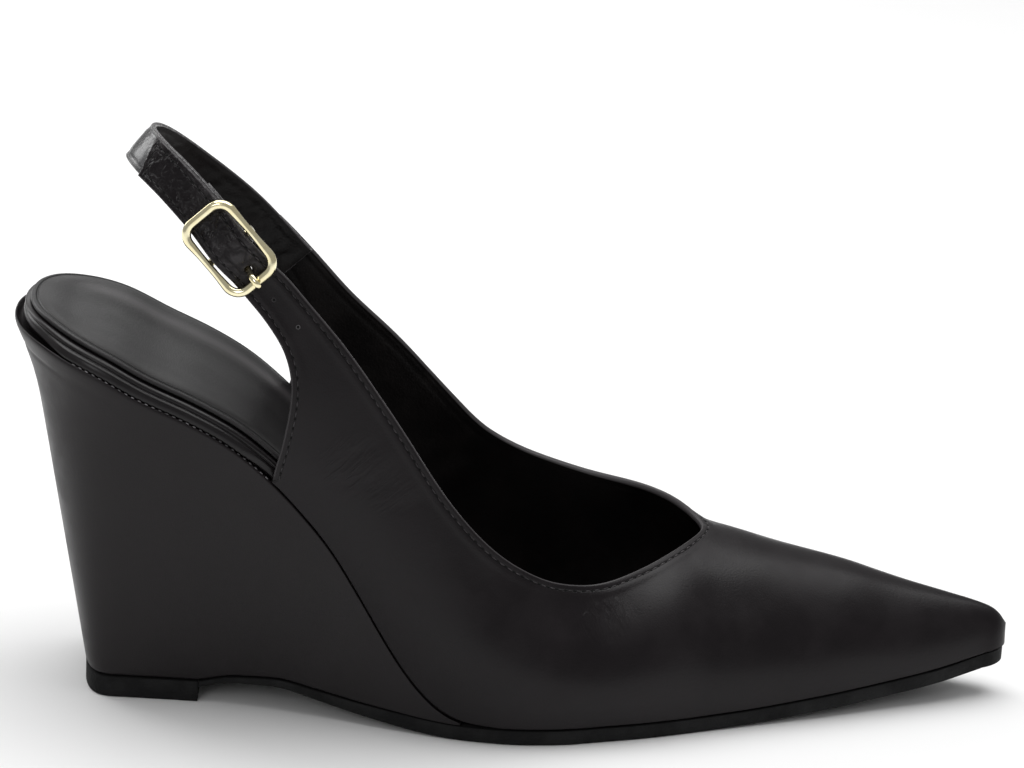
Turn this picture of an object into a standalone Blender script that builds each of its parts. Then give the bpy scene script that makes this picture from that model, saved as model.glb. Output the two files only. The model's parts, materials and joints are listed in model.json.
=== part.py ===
"""Pointed slingback wedge pump, right shoe.

The toe points along +X, the inner side of the foot is +Y and the sole stands on Z = 0.
Sizes are millimetres; the meshes are written in metres.
"""

import math
from collections import namedtuple

import bmesh
import bpy
import numpy as np
from mathutils import Vector

MM = 0.001

# Driving sizes, millimetres
SHOE_LENGTH = 240.0
BALL_WIDTH = 76.0
HEEL_HEIGHT = 87.3
TOE_SPRING = 8.9
ARCH_HEIGHT = 6.0
THROAT_HEIGHT = 40.3
QUARTER_RISE = 24.5
STRAP_RISE = 44.5
SPAN_CLEARANCE = 20.0
TOE_ROUND = 5.5
SEAT_ROUND = 30.0
WALL = 1.6
OUTSOLE_THICK = 3.6
BOARD_THICK = 3.5
SOCK_THICK = 1.2
TAP_HEIGHT = 5.2
TAP_LENGTH = 27.5
TAP_CORNER = 9.0
HEEL_UNDERCUT = 17.8
WEDGE_LIP = 2.5
STRAP_WIDTH = 9.8
STRAP_THICK = 1.3
BUCKLE_LENGTH = 19.3
BUCKLE_WIRE = 2.1
RAIL_WIRE = 1.6
RAIL_CLEARANCE = 0.5
BAR_WIRE = 1.8
BUCKLE_CORNER = 3.4
PRONG_WIDTH = 1.8
PRONG_THICK = 1.0
GAP = 0.3

# Smaller sizes, millimetres
EDGE_BEVEL = 0.5
BOARD_ROUND = 0.7
SOCK_INSET = 1.0
SOCK_ROUND = 0.8
SOLE_SWELL = 58.0
SOLE_MEET = 20.0
LIP_START = 8.0
LIP_FADE = 36.0
BULGE_FADE = 30.0
FOOT_RUN_MAX = 22.0
TAP_STEP = 6.0
TAIL_LENGTH = 27.0
TAIL_SLANT = 2.4
FOLD_BACK = 14.0
SLOT_REACH = 3.0
PRONG_CLEARANCE = 0.4
ROUTE_REACH = 1.5

# Shares of a size beside them
SOLE_THIN = 0.42
SOLE_WIDENS = 0.435
WEDGE_REACH = 0.446
REAR_SHARE = 0.345
BOARD_SHOULDER = 0.75
FOOT_RUN = 0.50
EDGE_RUN = 0.55
EDGE_TALL = 0.62
SIDE_BULGE = math.radians(16)
SEAT_POWER = 2.15
TAP_POWER = 3.0

# Counts of steps
SEAT_STEPS = 8
SIDE_STEPS = 38
TOE_STEPS = 5
WEDGE_STEPS = 18
ROWS = 15
REAR_COLUMNS = 6
TAIL_SEGMENTS = 5

HALF_BALL = BALL_WIDTH / 2
STRAP_SPAN = BALL_WIDTH - SPAN_CLEARANCE
HALF_SPAN = STRAP_SPAN / 2
HALF_BUCKLE = BUCKLE_LENGTH / 2
BUCKLE_WIDTH = STRAP_WIDTH + RAIL_WIRE + 2 * RAIL_CLEARANCE
TAP_END = HEEL_UNDERCUT + TAP_LENGTH
SOLE_START = TAP_END + GAP
TOE_START = SHOE_LENGTH - TOE_ROUND
WEDGE_END = WEDGE_REACH * SHOE_LENGTH
REAR_REACH = REAR_SHARE * SHOE_LENGTH
QUARTER_TOP = HEEL_HEIGHT + QUARTER_RISE

# Plan of the last: half widths as shares of half the ball width, outer side first
Outline = namedtuple("Outline", "along outer inner")
OUTLINE = [
    Outline(0.125, 0.816, 0.803),
    Outline(0.188, 0.821, 0.776),
    Outline(0.250, 0.816, 0.737),
    Outline(0.313, 0.824, 0.726),
    Outline(0.375, 0.882, 0.753),
    Outline(0.417, 0.955, 0.797),
    Outline(0.458, 1.016, 0.868),
    Outline(0.500, 1.039, 0.937),
    Outline(0.542, 1.018, 0.979),
    Outline(0.583, 0.955, 0.989),
    Outline(0.625, 0.882, 0.963),
    Outline(0.688, 0.742, 0.863),
    Outline(0.750, 0.605, 0.724),
    Outline(0.813, 0.466, 0.579),
    Outline(0.875, 0.316, 0.437),
    Outline(0.925, 0.200, 0.326),
    Outline(0.977, 0.061, 0.213),
    Outline(1.000, 0.000, 0.160),
]
TOE_ACROSS = 0.079

# Underside of the wedge: half widths as shares of half the ball width
BASE = [
    Outline(0.075, 0.505, 0.505),
    Outline(0.125, 0.526, 0.520),
    Outline(0.192, 0.553, 0.535),
    Outline(0.250, 0.626, 0.572),
    Outline(0.313, 0.738, 0.634),
    Outline(0.375, 0.868, 0.721),
    Outline(0.417, 0.950, 0.787),
    Outline(0.458, 1.011, 0.861),
]

# Seam between wedge and upper, as a share of the heel height
Seam = namedtuple("Seam", "along rise")
SEAM = [
    Seam(0.000, 1.028),
    Seam(0.029, 1.010),
    Seam(0.058, 0.983),
    Seam(0.090, 0.949),
    Seam(0.129, 0.894),
    Seam(0.177, 0.835),
    Seam(0.213, 0.780),
    Seam(0.254, 0.688),
    Seam(0.286, 0.596),
    Seam(0.313, 0.505),
    Seam(0.342, 0.380),
    Seam(0.368, 0.261),
    Seam(0.386, 0.186),
    Seam(0.402, 0.132),
    Seam(0.421, 0.084),
    Seam(0.440, 0.057),
    Seam(0.458, 0.047),
    Seam(0.475, 0.045),
]

# Underside of the sole: the arch, then the toe spring
Rise = namedtuple("Rise", "along share")
ARCH = [
    Rise(0.190, 0.62),
    Rise(0.225, 0.93),
    Rise(0.265, 1.00),
    Rise(0.305, 0.72),
    Rise(0.345, 0.42),
    Rise(0.380, 0.22),
    Rise(0.410, 0.08),
    Rise(0.435, 0.00),
]
SPRING = [
    Rise(0.675, 0.00),
    Rise(0.730, 0.05),
    Rise(0.795, 0.18),
    Rise(0.857, 0.34),
    Rise(0.920, 0.56),
    Rise(0.960, 0.76),
    Rise(1.000, 1.00),
]
FLAT_START = ARCH[-1].along * SHOE_LENGTH
FLAT_END = SPRING[0].along * SHOE_LENGTH

# Edge of the collar on each side: shares of half the ball width, and of the way
# from the throat up to the top of the outer quarter; lean is from upright, degrees
Edge = namedtuple("Edge", "along across climb lean")
COLLAR_OUTER = [
    Edge(0.210, 0.760, 1.130, 3),
    Edge(0.256, 0.803, 1.000, 4),
    Edge(0.293, 0.842, 0.868, 5),
    Edge(0.317, 0.855, 0.774, 6),
    Edge(0.376, 0.895, 0.492, 6),
    Edge(0.427, 0.921, 0.232, 7),
    Edge(0.467, 0.908, 0.081, 10),
    Edge(0.497, 0.868, 0.004, 16),
    Edge(0.537, 0.776, -0.063, 28),
    Edge(0.577, 0.645, -0.087, 42),
    Edge(0.618, 0.474, -0.062, 56),
    Edge(0.658, 0.245, -0.020, 72),
    Edge(0.688, -0.053, 0.000, 90),
]
COLLAR_INNER = [
    Edge(0.210, 0.705, 1.060, 3),
    Edge(0.250, 0.768, 0.935, 4),
    Edge(0.284, 0.789, 0.807, 5),
    Edge(0.323, 0.803, 0.660, 5),
    Edge(0.375, 0.816, 0.498, 6),
    Edge(0.429, 0.842, 0.305, 7),
    Edge(0.471, 0.829, 0.174, 10),
    Edge(0.524, 0.789, 0.098, 18),
    Edge(0.584, 0.684, 0.058, 34),
    Edge(0.633, 0.540, 0.045, 52),
    Edge(0.669, 0.340, 0.022, 70),
    Edge(0.688, 0.053, 0.000, 90),
]

THROAT_X = COLLAR_OUTER[-1].along * SHOE_LENGTH

# Top line of the vamp: place across as for the outline, depth as a share of the throat height
Ridge = namedtuple("Ridge", "along across depth")
RIDGE = [
    Ridge(0.688, 0.053, 1.000),
    Ridge(0.722, 0.060, 0.948),
    Ridge(0.764, 0.066, 0.865),
    Ridge(0.836, 0.074, 0.728),
    Ridge(0.888, 0.078, 0.600),
    Ridge(0.940, 0.079, 0.470),
    Ridge(0.971, 0.079, 0.385),
    Ridge(0.990, 0.079, 0.305),
    Ridge(1.000, 0.079, 0.215),
]

# Back edge of each quarter: shares of the shoe's length, and of the way from
# the seam to the foot of the quarter's end
BackEdge = namedtuple("BackEdge", "along climb")
BACK_OUTER = [
    BackEdge(0.2600, 0.00),
    BackEdge(0.2680, 0.14),
    BackEdge(0.2785, 0.33),
    BackEdge(0.2795, 0.54),
    BackEdge(0.2705, 0.74),
    BackEdge(0.2560, 0.88),
    BackEdge(0.2363, 1.00),
]
BACK_INNER = [
    BackEdge(0.2600, 0.00),
    BackEdge(0.2690, 0.16),
    BackEdge(0.2760, 0.36),
    BackEdge(0.2720, 0.58),
    BackEdge(0.2560, 0.80),
    BackEdge(0.2210, 1.00),
]
END_OUTER = (0.2363, 0.879, 0.2563, 1.000)
END_INNER = (0.2210, 0.833, 0.2510, 0.930)

# Route of the sling strap from the inner quarter round the heel to the outer quarter:
# shares of the shoe's length, of half the strap's span and of its rise over the heel
Way = namedtuple("Way", "along across rise")
STRAP_WAY = [
    Way(0.2690, 0.979, 0.160),
    Way(0.2150, 0.929, 0.470),
    Way(0.1596, 0.721, 0.740),
    Way(0.1297, 0.307, 0.920),
    Way(0.1200, -0.107, 0.991),
    Way(0.1330, -0.493, 0.980),
    Way(0.1596, -0.761, 0.897),
    Way(0.1846, -0.907, 0.780),
    Way(0.2129, -0.964, 0.614),
    Way(0.2500, -1.018, 0.400),
]
BUCKLE_KNOT = len(STRAP_WAY) - 2
STRAP_LEAN = Vector((0.62, 0.0, 0.78))

# Heights over the strap's route near the buckle
BAR_LIFT = 0.3
STRAP_OVER_BAR = BAR_LIFT + BAR_WIRE / 2 + GAP + STRAP_THICK / 2
TAIL_OVER_STRAP = STRAP_THICK / 2 + GAP + WALL
TAIL_OVER_BAR = STRAP_OVER_BAR + TAIL_OVER_STRAP
FRAME_END_LIFT = TAIL_OVER_STRAP + GAP + BUCKLE_WIRE / 2
PRONG_TOP = FRAME_END_LIFT + BUCKLE_WIRE / 2 + GAP + PRONG_THICK / 2
PRONG_LOOP = BAR_WIRE / 2 + GAP + PRONG_THICK / 2
SLOT_HALF = PRONG_WIDTH / 2 + PRONG_CLEARANCE

# Marks along the strap from the bar, as shares of half the buckle's length
BUMP_REACH = 0.90
HOLE_START = 0.394
HOLE_END = 0.830
TAIL_MARKS = (0.93, HOLE_END, 0.64, HOLE_START, 0.25, 0.0, -0.25, -0.48, -0.70, -0.93, -1.14)
BEND_MARKS = (-0.83, -0.58, -0.352, -0.166)
FOLD_MARKS = (-0.166, -0.352, -0.725)
WIRE_GROWS = 0.21
WIRE_FULL = 0.79

# Prong from the loop to its tip: shares of half the buckle's length and of its own rise
PRONG_SWEEP = (350.0, 80.0)
PRONG_WAY = [
    Rise(0.311, 0.187),
    Rise(0.446, 0.175),
    Rise(0.580, 0.296),
    Rise(0.694, 0.546),
    Rise(0.777, 0.766),
    Rise(0.834, 0.899),
    Rise(0.927, 0.978),
    Rise(1.031, 1.000),
    Rise(1.145, 0.917),
]
PRONG_TIP = 0.75

# Wedge side from its foot up: share of its height, and of the lip's inset
WEDGE_SIDE = [
    Rise(0.000, 0.00),
    Rise(0.120, 0.13),
    Rise(0.300, 0.32),
    Rise(0.500, 0.54),
    Rise(0.700, 0.76),
    Rise(0.860, 0.93),
    Rise(0.925, 1.00),
    Rise(0.955, 0.35),
    Rise(0.975, 0.00),
    Rise(1.000, 0.00),
]

# Colours
LEATHER = ("black_calf", (0.020, 0.018, 0.020, 1.0), 0.42, 0.0)
STRAP_LEATHER = ("glazed_strap", (0.022, 0.019, 0.024, 1.0), 0.28, 0.0)
SOCK_LEATHER = ("sock_leather", (0.035, 0.034, 0.036, 1.0), 0.50, 0.0)
RUBBER = ("black_rubber", (0.018, 0.018, 0.020, 1.0), 0.80, 0.0)
GOLD = ("pale_gold", (0.86, 0.72, 0.42, 1.0), 0.22, 1.0)


def clear_scene():
    for item in list(bpy.data.objects):
        bpy.data.objects.remove(item, do_unlink=True)


def read(rows, name, at):
    """Monotone cubic through one column of a table, flat past its ends."""
    x = np.array([row.along for row in rows], float)
    y = np.array([getattr(row, name) for row in rows], float)
    step = np.diff(x)
    slope = np.diff(y) / step
    tangent = np.zeros(len(x))
    for i in range(1, len(x) - 1):
        if slope[i - 1] * slope[i] > 0:
            a = 2 * step[i] + step[i - 1]
            b = step[i] + 2 * step[i - 1]
            tangent[i] = (a + b) / (a / slope[i - 1] + b / slope[i])
    tangent[0], tangent[-1] = slope[0], slope[-1]
    at = min(max(at, x[0]), x[-1])
    i = min(int(np.searchsorted(x, at, side="right")) - 1, len(x) - 2)
    t = (at - x[i]) / step[i]
    return float(
        y[i] * (1 + 2 * t) * (1 - t) ** 2
        + tangent[i] * step[i] * t * (1 - t) ** 2
        + y[i + 1] * t * t * (3 - 2 * t)
        + tangent[i + 1] * step[i] * t * t * (t - 1)
    )


def blend(a, b, t):
    return a + (b - a) * t


def ease(t):
    t = min(max(t, 0.0), 1.0)
    return t * t * (3 - 2 * t)


def sole_under(x):
    """Height of the sole's underside over the floor."""
    along = x / SHOE_LENGTH
    if x < FLAT_START:
        return ARCH_HEIGHT * read(ARCH, "share", along)
    if x > FLAT_END:
        return TOE_SPRING * read(SPRING, "share", along)
    return 0.0


def sole_thickness(x):
    return blend(SOLE_THIN, 1.0, ease((x - SOLE_START) / SOLE_SWELL)) * OUTSOLE_THICK


def seam_height(x):
    """Height of the seam under the upper, which stands on the wedge and then on the sole."""
    if x > SEAM[-1].along * SHOE_LENGTH:
        return sole_under(x) + OUTSOLE_THICK
    return max(HEEL_HEIGHT * read(SEAM, "rise", x / SHOE_LENGTH), OUTSOLE_THICK)


def seam_slope(x):
    reach = 0.5
    return (seam_height(x + reach) - seam_height(x - reach)) / (2 * reach)


def outline_at(x, side):
    """Half width of the last at x; side is 0 for the outer and 1 for the inner side."""
    name = ("outer", "inner")[side]
    sign = (-1, 1)[side]
    if x < SEAT_ROUND:
        wide = HALF_BALL * read(OUTLINE, name, SEAT_ROUND / SHOE_LENGTH)
        return sign * wide * (1 - (1 - x / SEAT_ROUND) ** SEAT_POWER) ** (1 / SEAT_POWER)
    if x <= TOE_START:
        return sign * HALF_BALL * read(OUTLINE, name, x / SHOE_LENGTH)
    tip = TOE_ACROSS * HALF_BALL
    shoulder = sign * HALF_BALL * read(OUTLINE, name, TOE_START / SHOE_LENGTH)
    return tip + (shoulder - tip) * math.sqrt(max(0.0, 1 - ((x - TOE_START) / TOE_ROUND) ** 2))


def quarter_turn(start, run, steps):
    """Places that crowd towards start, as they do round a corner."""
    return [start + run * (1 - math.cos(math.pi / 2 * i / steps)) for i in range(steps + 1)]


def stations(start, end):
    """Places along the shoe, close together where the outline turns."""
    places = quarter_turn(0.0, SEAT_ROUND, SEAT_STEPS)[:-1]
    places += [blend(SEAT_ROUND, TOE_START, i / SIDE_STEPS) for i in range(SIDE_STEPS)]
    places += [SHOE_LENGTH - p for p in quarter_turn(0.0, TOE_ROUND, TOE_STEPS)[::-1]]
    kept = [x for x in places if start + 1.0 < x < end - 1.0]
    return [start, *kept, end]


def offset_side(points, inset, side):
    """Moves a side of the plan inwards by inset, at right angles to its edge."""
    moved = []
    last = len(points) - 1
    for i, (x, y) in enumerate(points):
        x0, y0 = points[max(i - 1, 0)]
        x1, y1 = points[min(i + 1, last)]
        along = np.array([x1 - x0, y1 - y0])
        if i == 0 and abs(y) < 1e-6:
            along = np.array([0.0, (-1, 1)[side]])
        if i == last and abs(y - TOE_ACROSS * HALF_BALL) < 1e-6:
            along = np.array([0.0, (1, -1)[side]])
        along = along / np.hypot(*along)
        inward = np.array([-along[1], along[0]]) * (1, -1)[side]
        moved.append((x + inward[0] * inset, y + inward[1] * inset))
    return moved


def plan_loop(places, inset, at=outline_at):
    """Outer side from front to back, then the inner side from back to front."""
    outer = offset_side([(x, at(x, 0)) for x in places], inset, 0)
    inner = offset_side([(x, at(x, 1)) for x in places], inset, 1)
    return outer[::-1] + inner


def add_object(name, mesh, look):
    obj = bpy.data.objects.new(name, mesh)
    bpy.context.collection.objects.link(obj)
    label, colour, roughness, metallic = look
    material = bpy.data.materials.get(label) or bpy.data.materials.new(label)
    material.use_nodes = True
    shader = material.node_tree.nodes["Principled BSDF"]
    shader.inputs["Base Color"].default_value = colour
    shader.inputs["Roughness"].default_value = roughness
    shader.inputs["Metallic"].default_value = metallic
    obj.data.materials.append(material)
    return obj


def mesh_from(name, points, faces):
    """Mesh in metres, with doubled points merged and flat faces dropped."""
    bm = bmesh.new()
    verts = [bm.verts.new(Vector(p) * MM) for p in points]
    for face in faces:
        corners = [verts[i] for i in dict.fromkeys(face)]
        if len(corners) > 2:
            bm.faces.new(corners)
    bmesh.ops.remove_doubles(bm, verts=bm.verts, dist=0.00001)
    bmesh.ops.dissolve_degenerate(bm, dist=0.000001, edges=bm.edges)
    mesh = bpy.data.meshes.new(name)
    bm.to_mesh(mesh)
    bm.free()
    mesh.shade_smooth()
    mesh.set_sharp_from_angle(angle=math.radians(40))
    return mesh


def turn_outward(mesh):
    bm = bmesh.new()
    bm.from_mesh(mesh)
    bmesh.ops.recalc_face_normals(bm, faces=bm.faces)
    if bm.calc_volume(signed=True) < 0:
        bmesh.ops.reverse_faces(bm, faces=bm.faces)
    bm.to_mesh(mesh)
    bm.free()


def slab(name, rows, look):
    """Closed solid from loops of the plan, lowest first; each loop starts and ends at the front."""
    count = len(rows[0])
    points = [p for row in rows for p in row]
    faces = []
    for r in range(len(rows) - 1):
        for i in range(count - 1):
            a = r * count + i
            faces.append((a, a + 1, a + count + 1, a + count))
        a = r * count
        faces.append((a + count - 1, a, a + count, a + 2 * count - 1))
    top = (len(rows) - 1) * count
    for i in range((count - 1) // 2):
        j = count - 1 - i
        faces.append((i, j, j - 1, i + 1))
        faces.append((top + i, top + i + 1, top + j - 1, top + j))
    mesh = mesh_from(name, points, faces)
    turn_outward(mesh)
    return add_object(name, mesh, look)


def lifted(plan, lift):
    """Points over the seam's surface, moved by lift along its own upright."""
    points = []
    for x, y in plan:
        slope = seam_slope(x)
        long = math.hypot(1.0, slope)
        points.append((x - lift * slope / long, y, seam_height(x) + lift / long))
    return points


def make_outsole():
    places = stations(SOLE_START, SHOE_LENGTH)
    front = SOLE_WIDENS * SHOE_LENGTH

    def at(x, side):
        if x < front:
            return base_at(x, side)
        narrow = base_at(front, side) / outline_at(front, side)
        return outline_at(x, side) * blend(narrow, 1.0, ease((x - front) / SOLE_MEET))

    plan = plan_loop(places, 0.0, at)
    under = plan_loop(places, EDGE_BEVEL, at)
    bottom = [(x, y, sole_under(x)) for x, y in under]
    edge = [(x, y, sole_under(x) + EDGE_BEVEL) for x, y in plan]
    top = [(x, y, sole_under(x) + sole_thickness(x)) for x, y in plan]
    return slab("outsole", [bottom, edge, top], RUBBER)


def base_at(x, side):
    """Half width of the wedge's underside, which has a squared back."""
    name = ("outer", "inner")[side]
    sign = (-1, 1)[side]
    start = HEEL_UNDERCUT + TAP_CORNER
    if x < start:
        wide = HALF_BALL * read(BASE, name, start / SHOE_LENGTH)
        share = max(0.0, (x - HEEL_UNDERCUT) / TAP_CORNER)
        return sign * wide * (1 - (1 - share) ** TAP_POWER) ** (1 / TAP_POWER)
    return sign * HALF_BALL * read(BASE, name, x / SHOE_LENGTH)


def make_heel_tap():
    places = quarter_turn(HEEL_UNDERCUT, TAP_CORNER, SEAT_STEPS)
    places += [blend(places[-1], TAP_END, i / 3) for i in (1, 2, 3)]
    plan = plan_loop(places, 0.0, base_at)
    under = plan_loop(places, EDGE_BEVEL, base_at)
    bottom = [(x, y, 0.0) for x, y in under]
    edge = [(x, y, EDGE_BEVEL) for x, y in plan]
    top = [(x, y, TAP_HEIGHT) for x, y in plan]
    return slab("heel_tap", [bottom, edge, top], RUBBER)


def wedge_under(x):
    """Height of the wedge's underside: over the tap, then over the sole."""
    over_tap = TAP_HEIGHT + GAP
    if x < TAP_END:
        return over_tap
    over_sole = sole_under(x) + sole_thickness(x) + GAP
    return max(over_sole, blend(over_tap, over_sole, ease((x - TAP_END) / TAP_STEP)))


def make_wedge():
    """Solid between the sole and the seam, hollowed under its lip at the back."""
    top_x = quarter_turn(0.0, SEAT_ROUND, SEAT_STEPS)
    low_x = quarter_turn(HEEL_UNDERCUT, TAP_CORNER, SEAT_STEPS)
    steps = range(1, WEDGE_STEPS + 1)
    top_x += [blend(SEAT_ROUND, WEDGE_END, i / WEDGE_STEPS) for i in steps]
    low_x += [blend(HEEL_UNDERCUT + TAP_CORNER, WEDGE_END, i / WEDGE_STEPS) for i in steps]
    high = plan_loop(top_x, 0.0)
    low = plan_loop(low_x, 0.0, base_at)
    rows = []
    for level in WEDGE_SIDE:
        row = []
        for i, ((xh, yh), (xl, yl)) in enumerate(zip(high, low, strict=True)):
            x0, y0 = high[max(i - 1, 0)]
            x1, y1 = high[min(i + 1, len(high) - 1)]
            along = Vector((x1 - x0, y1 - y0)).normalized()
            inset = WEDGE_LIP * (1 - ease((xh - LIP_START) / LIP_FADE)) * level.share
            x = blend(xl, xh, level.along) + along.y * inset
            y = blend(yl, yh, level.along) - along.x * inset
            z = blend(wedge_under(xl), seam_height(xh), level.along)
            row.append((x, y, z))
        rows.append(row)
    return slab("wedge", rows, LEATHER)


def board_at(inset):
    places = stations(0.0, SHOE_LENGTH)
    return plan_loop(places, inset)


def make_insole_board():
    edge = WALL + GAP
    rows = [
        lifted(board_at(edge), GAP),
        lifted(board_at(edge), GAP + BOARD_THICK * BOARD_SHOULDER),
        lifted(board_at(edge + BOARD_ROUND), GAP + BOARD_THICK),
    ]
    return slab("insole_board", rows, LEATHER)


def make_sock():
    edge = WALL + GAP + SOCK_INSET
    low = BOARD_THICK + 2 * GAP
    rows = [
        lifted(board_at(edge), low),
        lifted(board_at(edge), low + SOCK_THICK / 2),
        lifted(board_at(edge + SOCK_ROUND), low + SOCK_THICK),
    ]
    return slab("sock", rows, SOCK_LEATHER)


def collar_at(x, side):
    """Edge of the opening: across, height and lean."""
    rows = (COLLAR_OUTER, COLLAR_INNER)[side]
    sign = (-1, 1)[side]
    along = x / SHOE_LENGTH
    across = sign * HALF_BALL * read(rows, "across", along)
    height = blend(THROAT_HEIGHT, QUARTER_TOP, read(rows, "climb", along))
    return across, height, math.radians(read(rows, "lean", along))


def ridge_at(x):
    along = x / SHOE_LENGTH
    across = HALF_BALL * read(RIDGE, "across", along)
    height = sole_under(x) + THROAT_HEIGHT * read(RIDGE, "depth", along)
    return across, height, math.pi / 2


def section(x, side, count):
    """One side's section from the seam to the collar or the vamp's top line."""
    sign = (-1, 1)[side]
    foot_y = outline_at(x, side)
    foot_z = seam_height(x) + GAP
    top_y, top_z, lean = ridge_at(x) if x >= THROAT_X else collar_at(x, side)
    tall = top_z - foot_z
    wide = abs(foot_y - top_y)
    bulge = SIDE_BULGE * ease((SHOE_LENGTH - x) / BULGE_FADE)
    rise = min(FOOT_RUN * tall, FOOT_RUN_MAX)
    reach = EDGE_RUN * (abs(math.cos(lean)) * EDGE_TALL * tall + abs(math.sin(lean)) * wide)
    p0 = np.array([foot_y, foot_z])
    p1 = p0 + rise * np.array([sign * math.sin(bulge), math.cos(bulge)])
    p3 = np.array([top_y, top_z])
    p2 = p3 + reach * np.array([sign * math.sin(lean), -math.cos(lean)])
    t = np.linspace(0, 1, count + 1)[:, None]
    return (1 - t) ** 3 * p0 + 3 * (1 - t) ** 2 * t * p1 + 3 * (1 - t) * t * t * p2 + t**3 * p3


def quarter_rows(side):
    """Back columns of a quarter, between its back edge and an upright section."""
    edge = (BACK_OUTER, BACK_INNER)[side]
    low_x, low_climb, high_x, high_climb = (END_OUTER, END_INNER)[side]
    seam_x = edge[0].along * SHOE_LENGTH
    seam_z = seam_height(seam_x) + GAP
    end_low = np.array([low_x * SHOE_LENGTH, blend(THROAT_HEIGHT, QUARTER_TOP, low_climb)])
    end_high_x = high_x * SHOE_LENGTH
    end_high = np.array([end_high_x, collar_at(end_high_x, side)[1]])
    below = ROWS - TAIL_SEGMENTS
    climbs = np.array([row.climb for row in edge])
    alongs = np.array([row.along for row in edge]) * SHOE_LENGTH
    table = [Rise(c, a) for c, a in zip(climbs, alongs, strict=True)]
    back = []
    for i in range(below + 1):
        climb = i / below
        back.append(np.array([read(table, "share", climb), blend(seam_z, end_low[1], climb)]))
    half_slot = SLOT_HALF / STRAP_WIDTH
    shares = (0.25 - half_slot / 2, 0.5 - half_slot, 0.5 + half_slot, 0.75 + half_slot / 2, 1.0)
    back += [blend(end_low, end_high, share) for share in shares]
    front = section(REAR_REACH, side, ROWS)
    columns = []
    for j in range(REAR_COLUMNS):
        u = j / REAR_COLUMNS
        foot_x = blend(seam_x, REAR_REACH, u)
        top_x = blend(end_high_x, REAR_REACH, u)
        foot = np.array([foot_x, seam_height(foot_x) + GAP])
        top = np.array([top_x, collar_at(top_x, side)[1]])
        foot_flat = blend(back[0], np.array([REAR_REACH, front[0][1]]), u)
        top_flat = blend(back[-1], np.array([REAR_REACH, front[-1][1]]), u)
        column = []
        for i in range(ROWS + 1):
            v = i / ROWS
            ahead = np.array([REAR_REACH, front[i][1]])
            spot = blend(back[i], ahead, u)
            spot = spot + (1 - v) * (foot - foot_flat) + v * (top - top_flat)
            column.append(spot)
        columns.append([(x, wall_at(x, z, side), z) for x, z in column])
    return columns


def wall_at(x, z, side):
    """Place across of a quarter's outer face at x and height z."""
    curve = section(x, side, 40)
    return float(np.interp(z, curve[:, 1], curve[:, 0]))


class Route:
    """The strap's route, with a frame of width and outward directions at each distance
    from the buckle's bar; the distance grows towards the toe on the outer side."""

    def __init__(self):
        knots = [
            Vector((w.along * SHOE_LENGTH, w.across * HALF_SPAN, HEEL_HEIGHT + w.rise * STRAP_RISE))
            for w in STRAP_WAY
        ]
        fine = 24
        spots, self.knot_index = [], []
        for i in range(len(knots) - 1):
            before = knots[i - 1] if i else knots[0] * 2 - knots[1]
            after = knots[i + 2] if i + 2 < len(knots) else knots[-1] * 2 - knots[-2]
            self.knot_index.append(len(spots))
            for k in range(fine):
                spots.append(self.catmull(before, knots[i], knots[i + 1], after, k / fine))
        self.knot_index.append(len(spots))
        spots.append(knots[-1])
        self.spots = np.array([tuple(s) for s in spots])
        steps = np.linalg.norm(np.diff(self.spots, axis=0), axis=1)
        self.length = np.concatenate([[0.0], np.cumsum(steps)])
        self.length -= self.length[self.knot_index[BUCKLE_KNOT]]

    @staticmethod
    def catmull(a, b, c, d, t):
        return 0.5 * (
            2 * b + (c - a) * t + (2 * a - 5 * b + 4 * c - d) * t * t
            + (3 * b - a - 3 * c + d) * t**3
        )

    @property
    def start(self):
        return float(self.length[0])

    def spot(self, distance):
        return Vector([float(np.interp(distance, self.length, self.spots[:, k])) for k in range(3)])

    def frame(self, distance):
        """Tangent, width direction and outward direction."""
        lo = max(distance - ROUTE_REACH, self.start)
        hi = min(distance + ROUTE_REACH, float(self.length[-1]))
        tangent = (self.spot(hi) - self.spot(lo)).normalized()
        width = (STRAP_LEAN - tangent * STRAP_LEAN.dot(tangent)).normalized()
        return tangent, width, tangent.cross(width)

    def place(self, distance, across, lift):
        _, width, out = self.frame(distance)
        return self.spot(distance) + width * across + out * lift

    def at_buckle(self, along, across, lift):
        """A point in the flat frame of the buckle."""
        tangent, width, out = self.frame(0.0)
        return self.spot(0.0) + tangent * along + width * across + out * lift


def bump(distance, over, flat):
    """Height of a layer that passes over the buckle's bar."""
    share = max(0.0, 1 - abs(distance) / (BUMP_REACH * HALF_BUCKLE))
    return flat + (over - flat) * ease(share)


def across_marks():
    half = STRAP_WIDTH / 2
    middle = (half + SLOT_HALF) / 2
    return [-half, -middle, -SLOT_HALF, SLOT_HALF, middle, half]


def tail_columns(route):
    """Columns of the buckle tail's outer face, from the quarter to its cut end."""
    marks = [HALF_BUCKLE * share for share in TAIL_MARKS]
    near_end = marks[-1]
    marks += [blend(near_end, -TAIL_LENGTH, i / 6) for i in range(1, 7)]
    columns = []
    for distance in marks:
        lift = bump(distance, TAIL_OVER_BAR, TAIL_OVER_STRAP)
        slant = TAIL_SLANT * max(0.0, (distance - near_end) / (-TAIL_LENGTH - near_end))
        column = []
        for b in across_marks():
            back = slant * (b / STRAP_WIDTH + 0.5)
            column.append(tuple(route.place(distance - back, b, lift)))
        columns.append(column)
    return marks, columns


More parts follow.
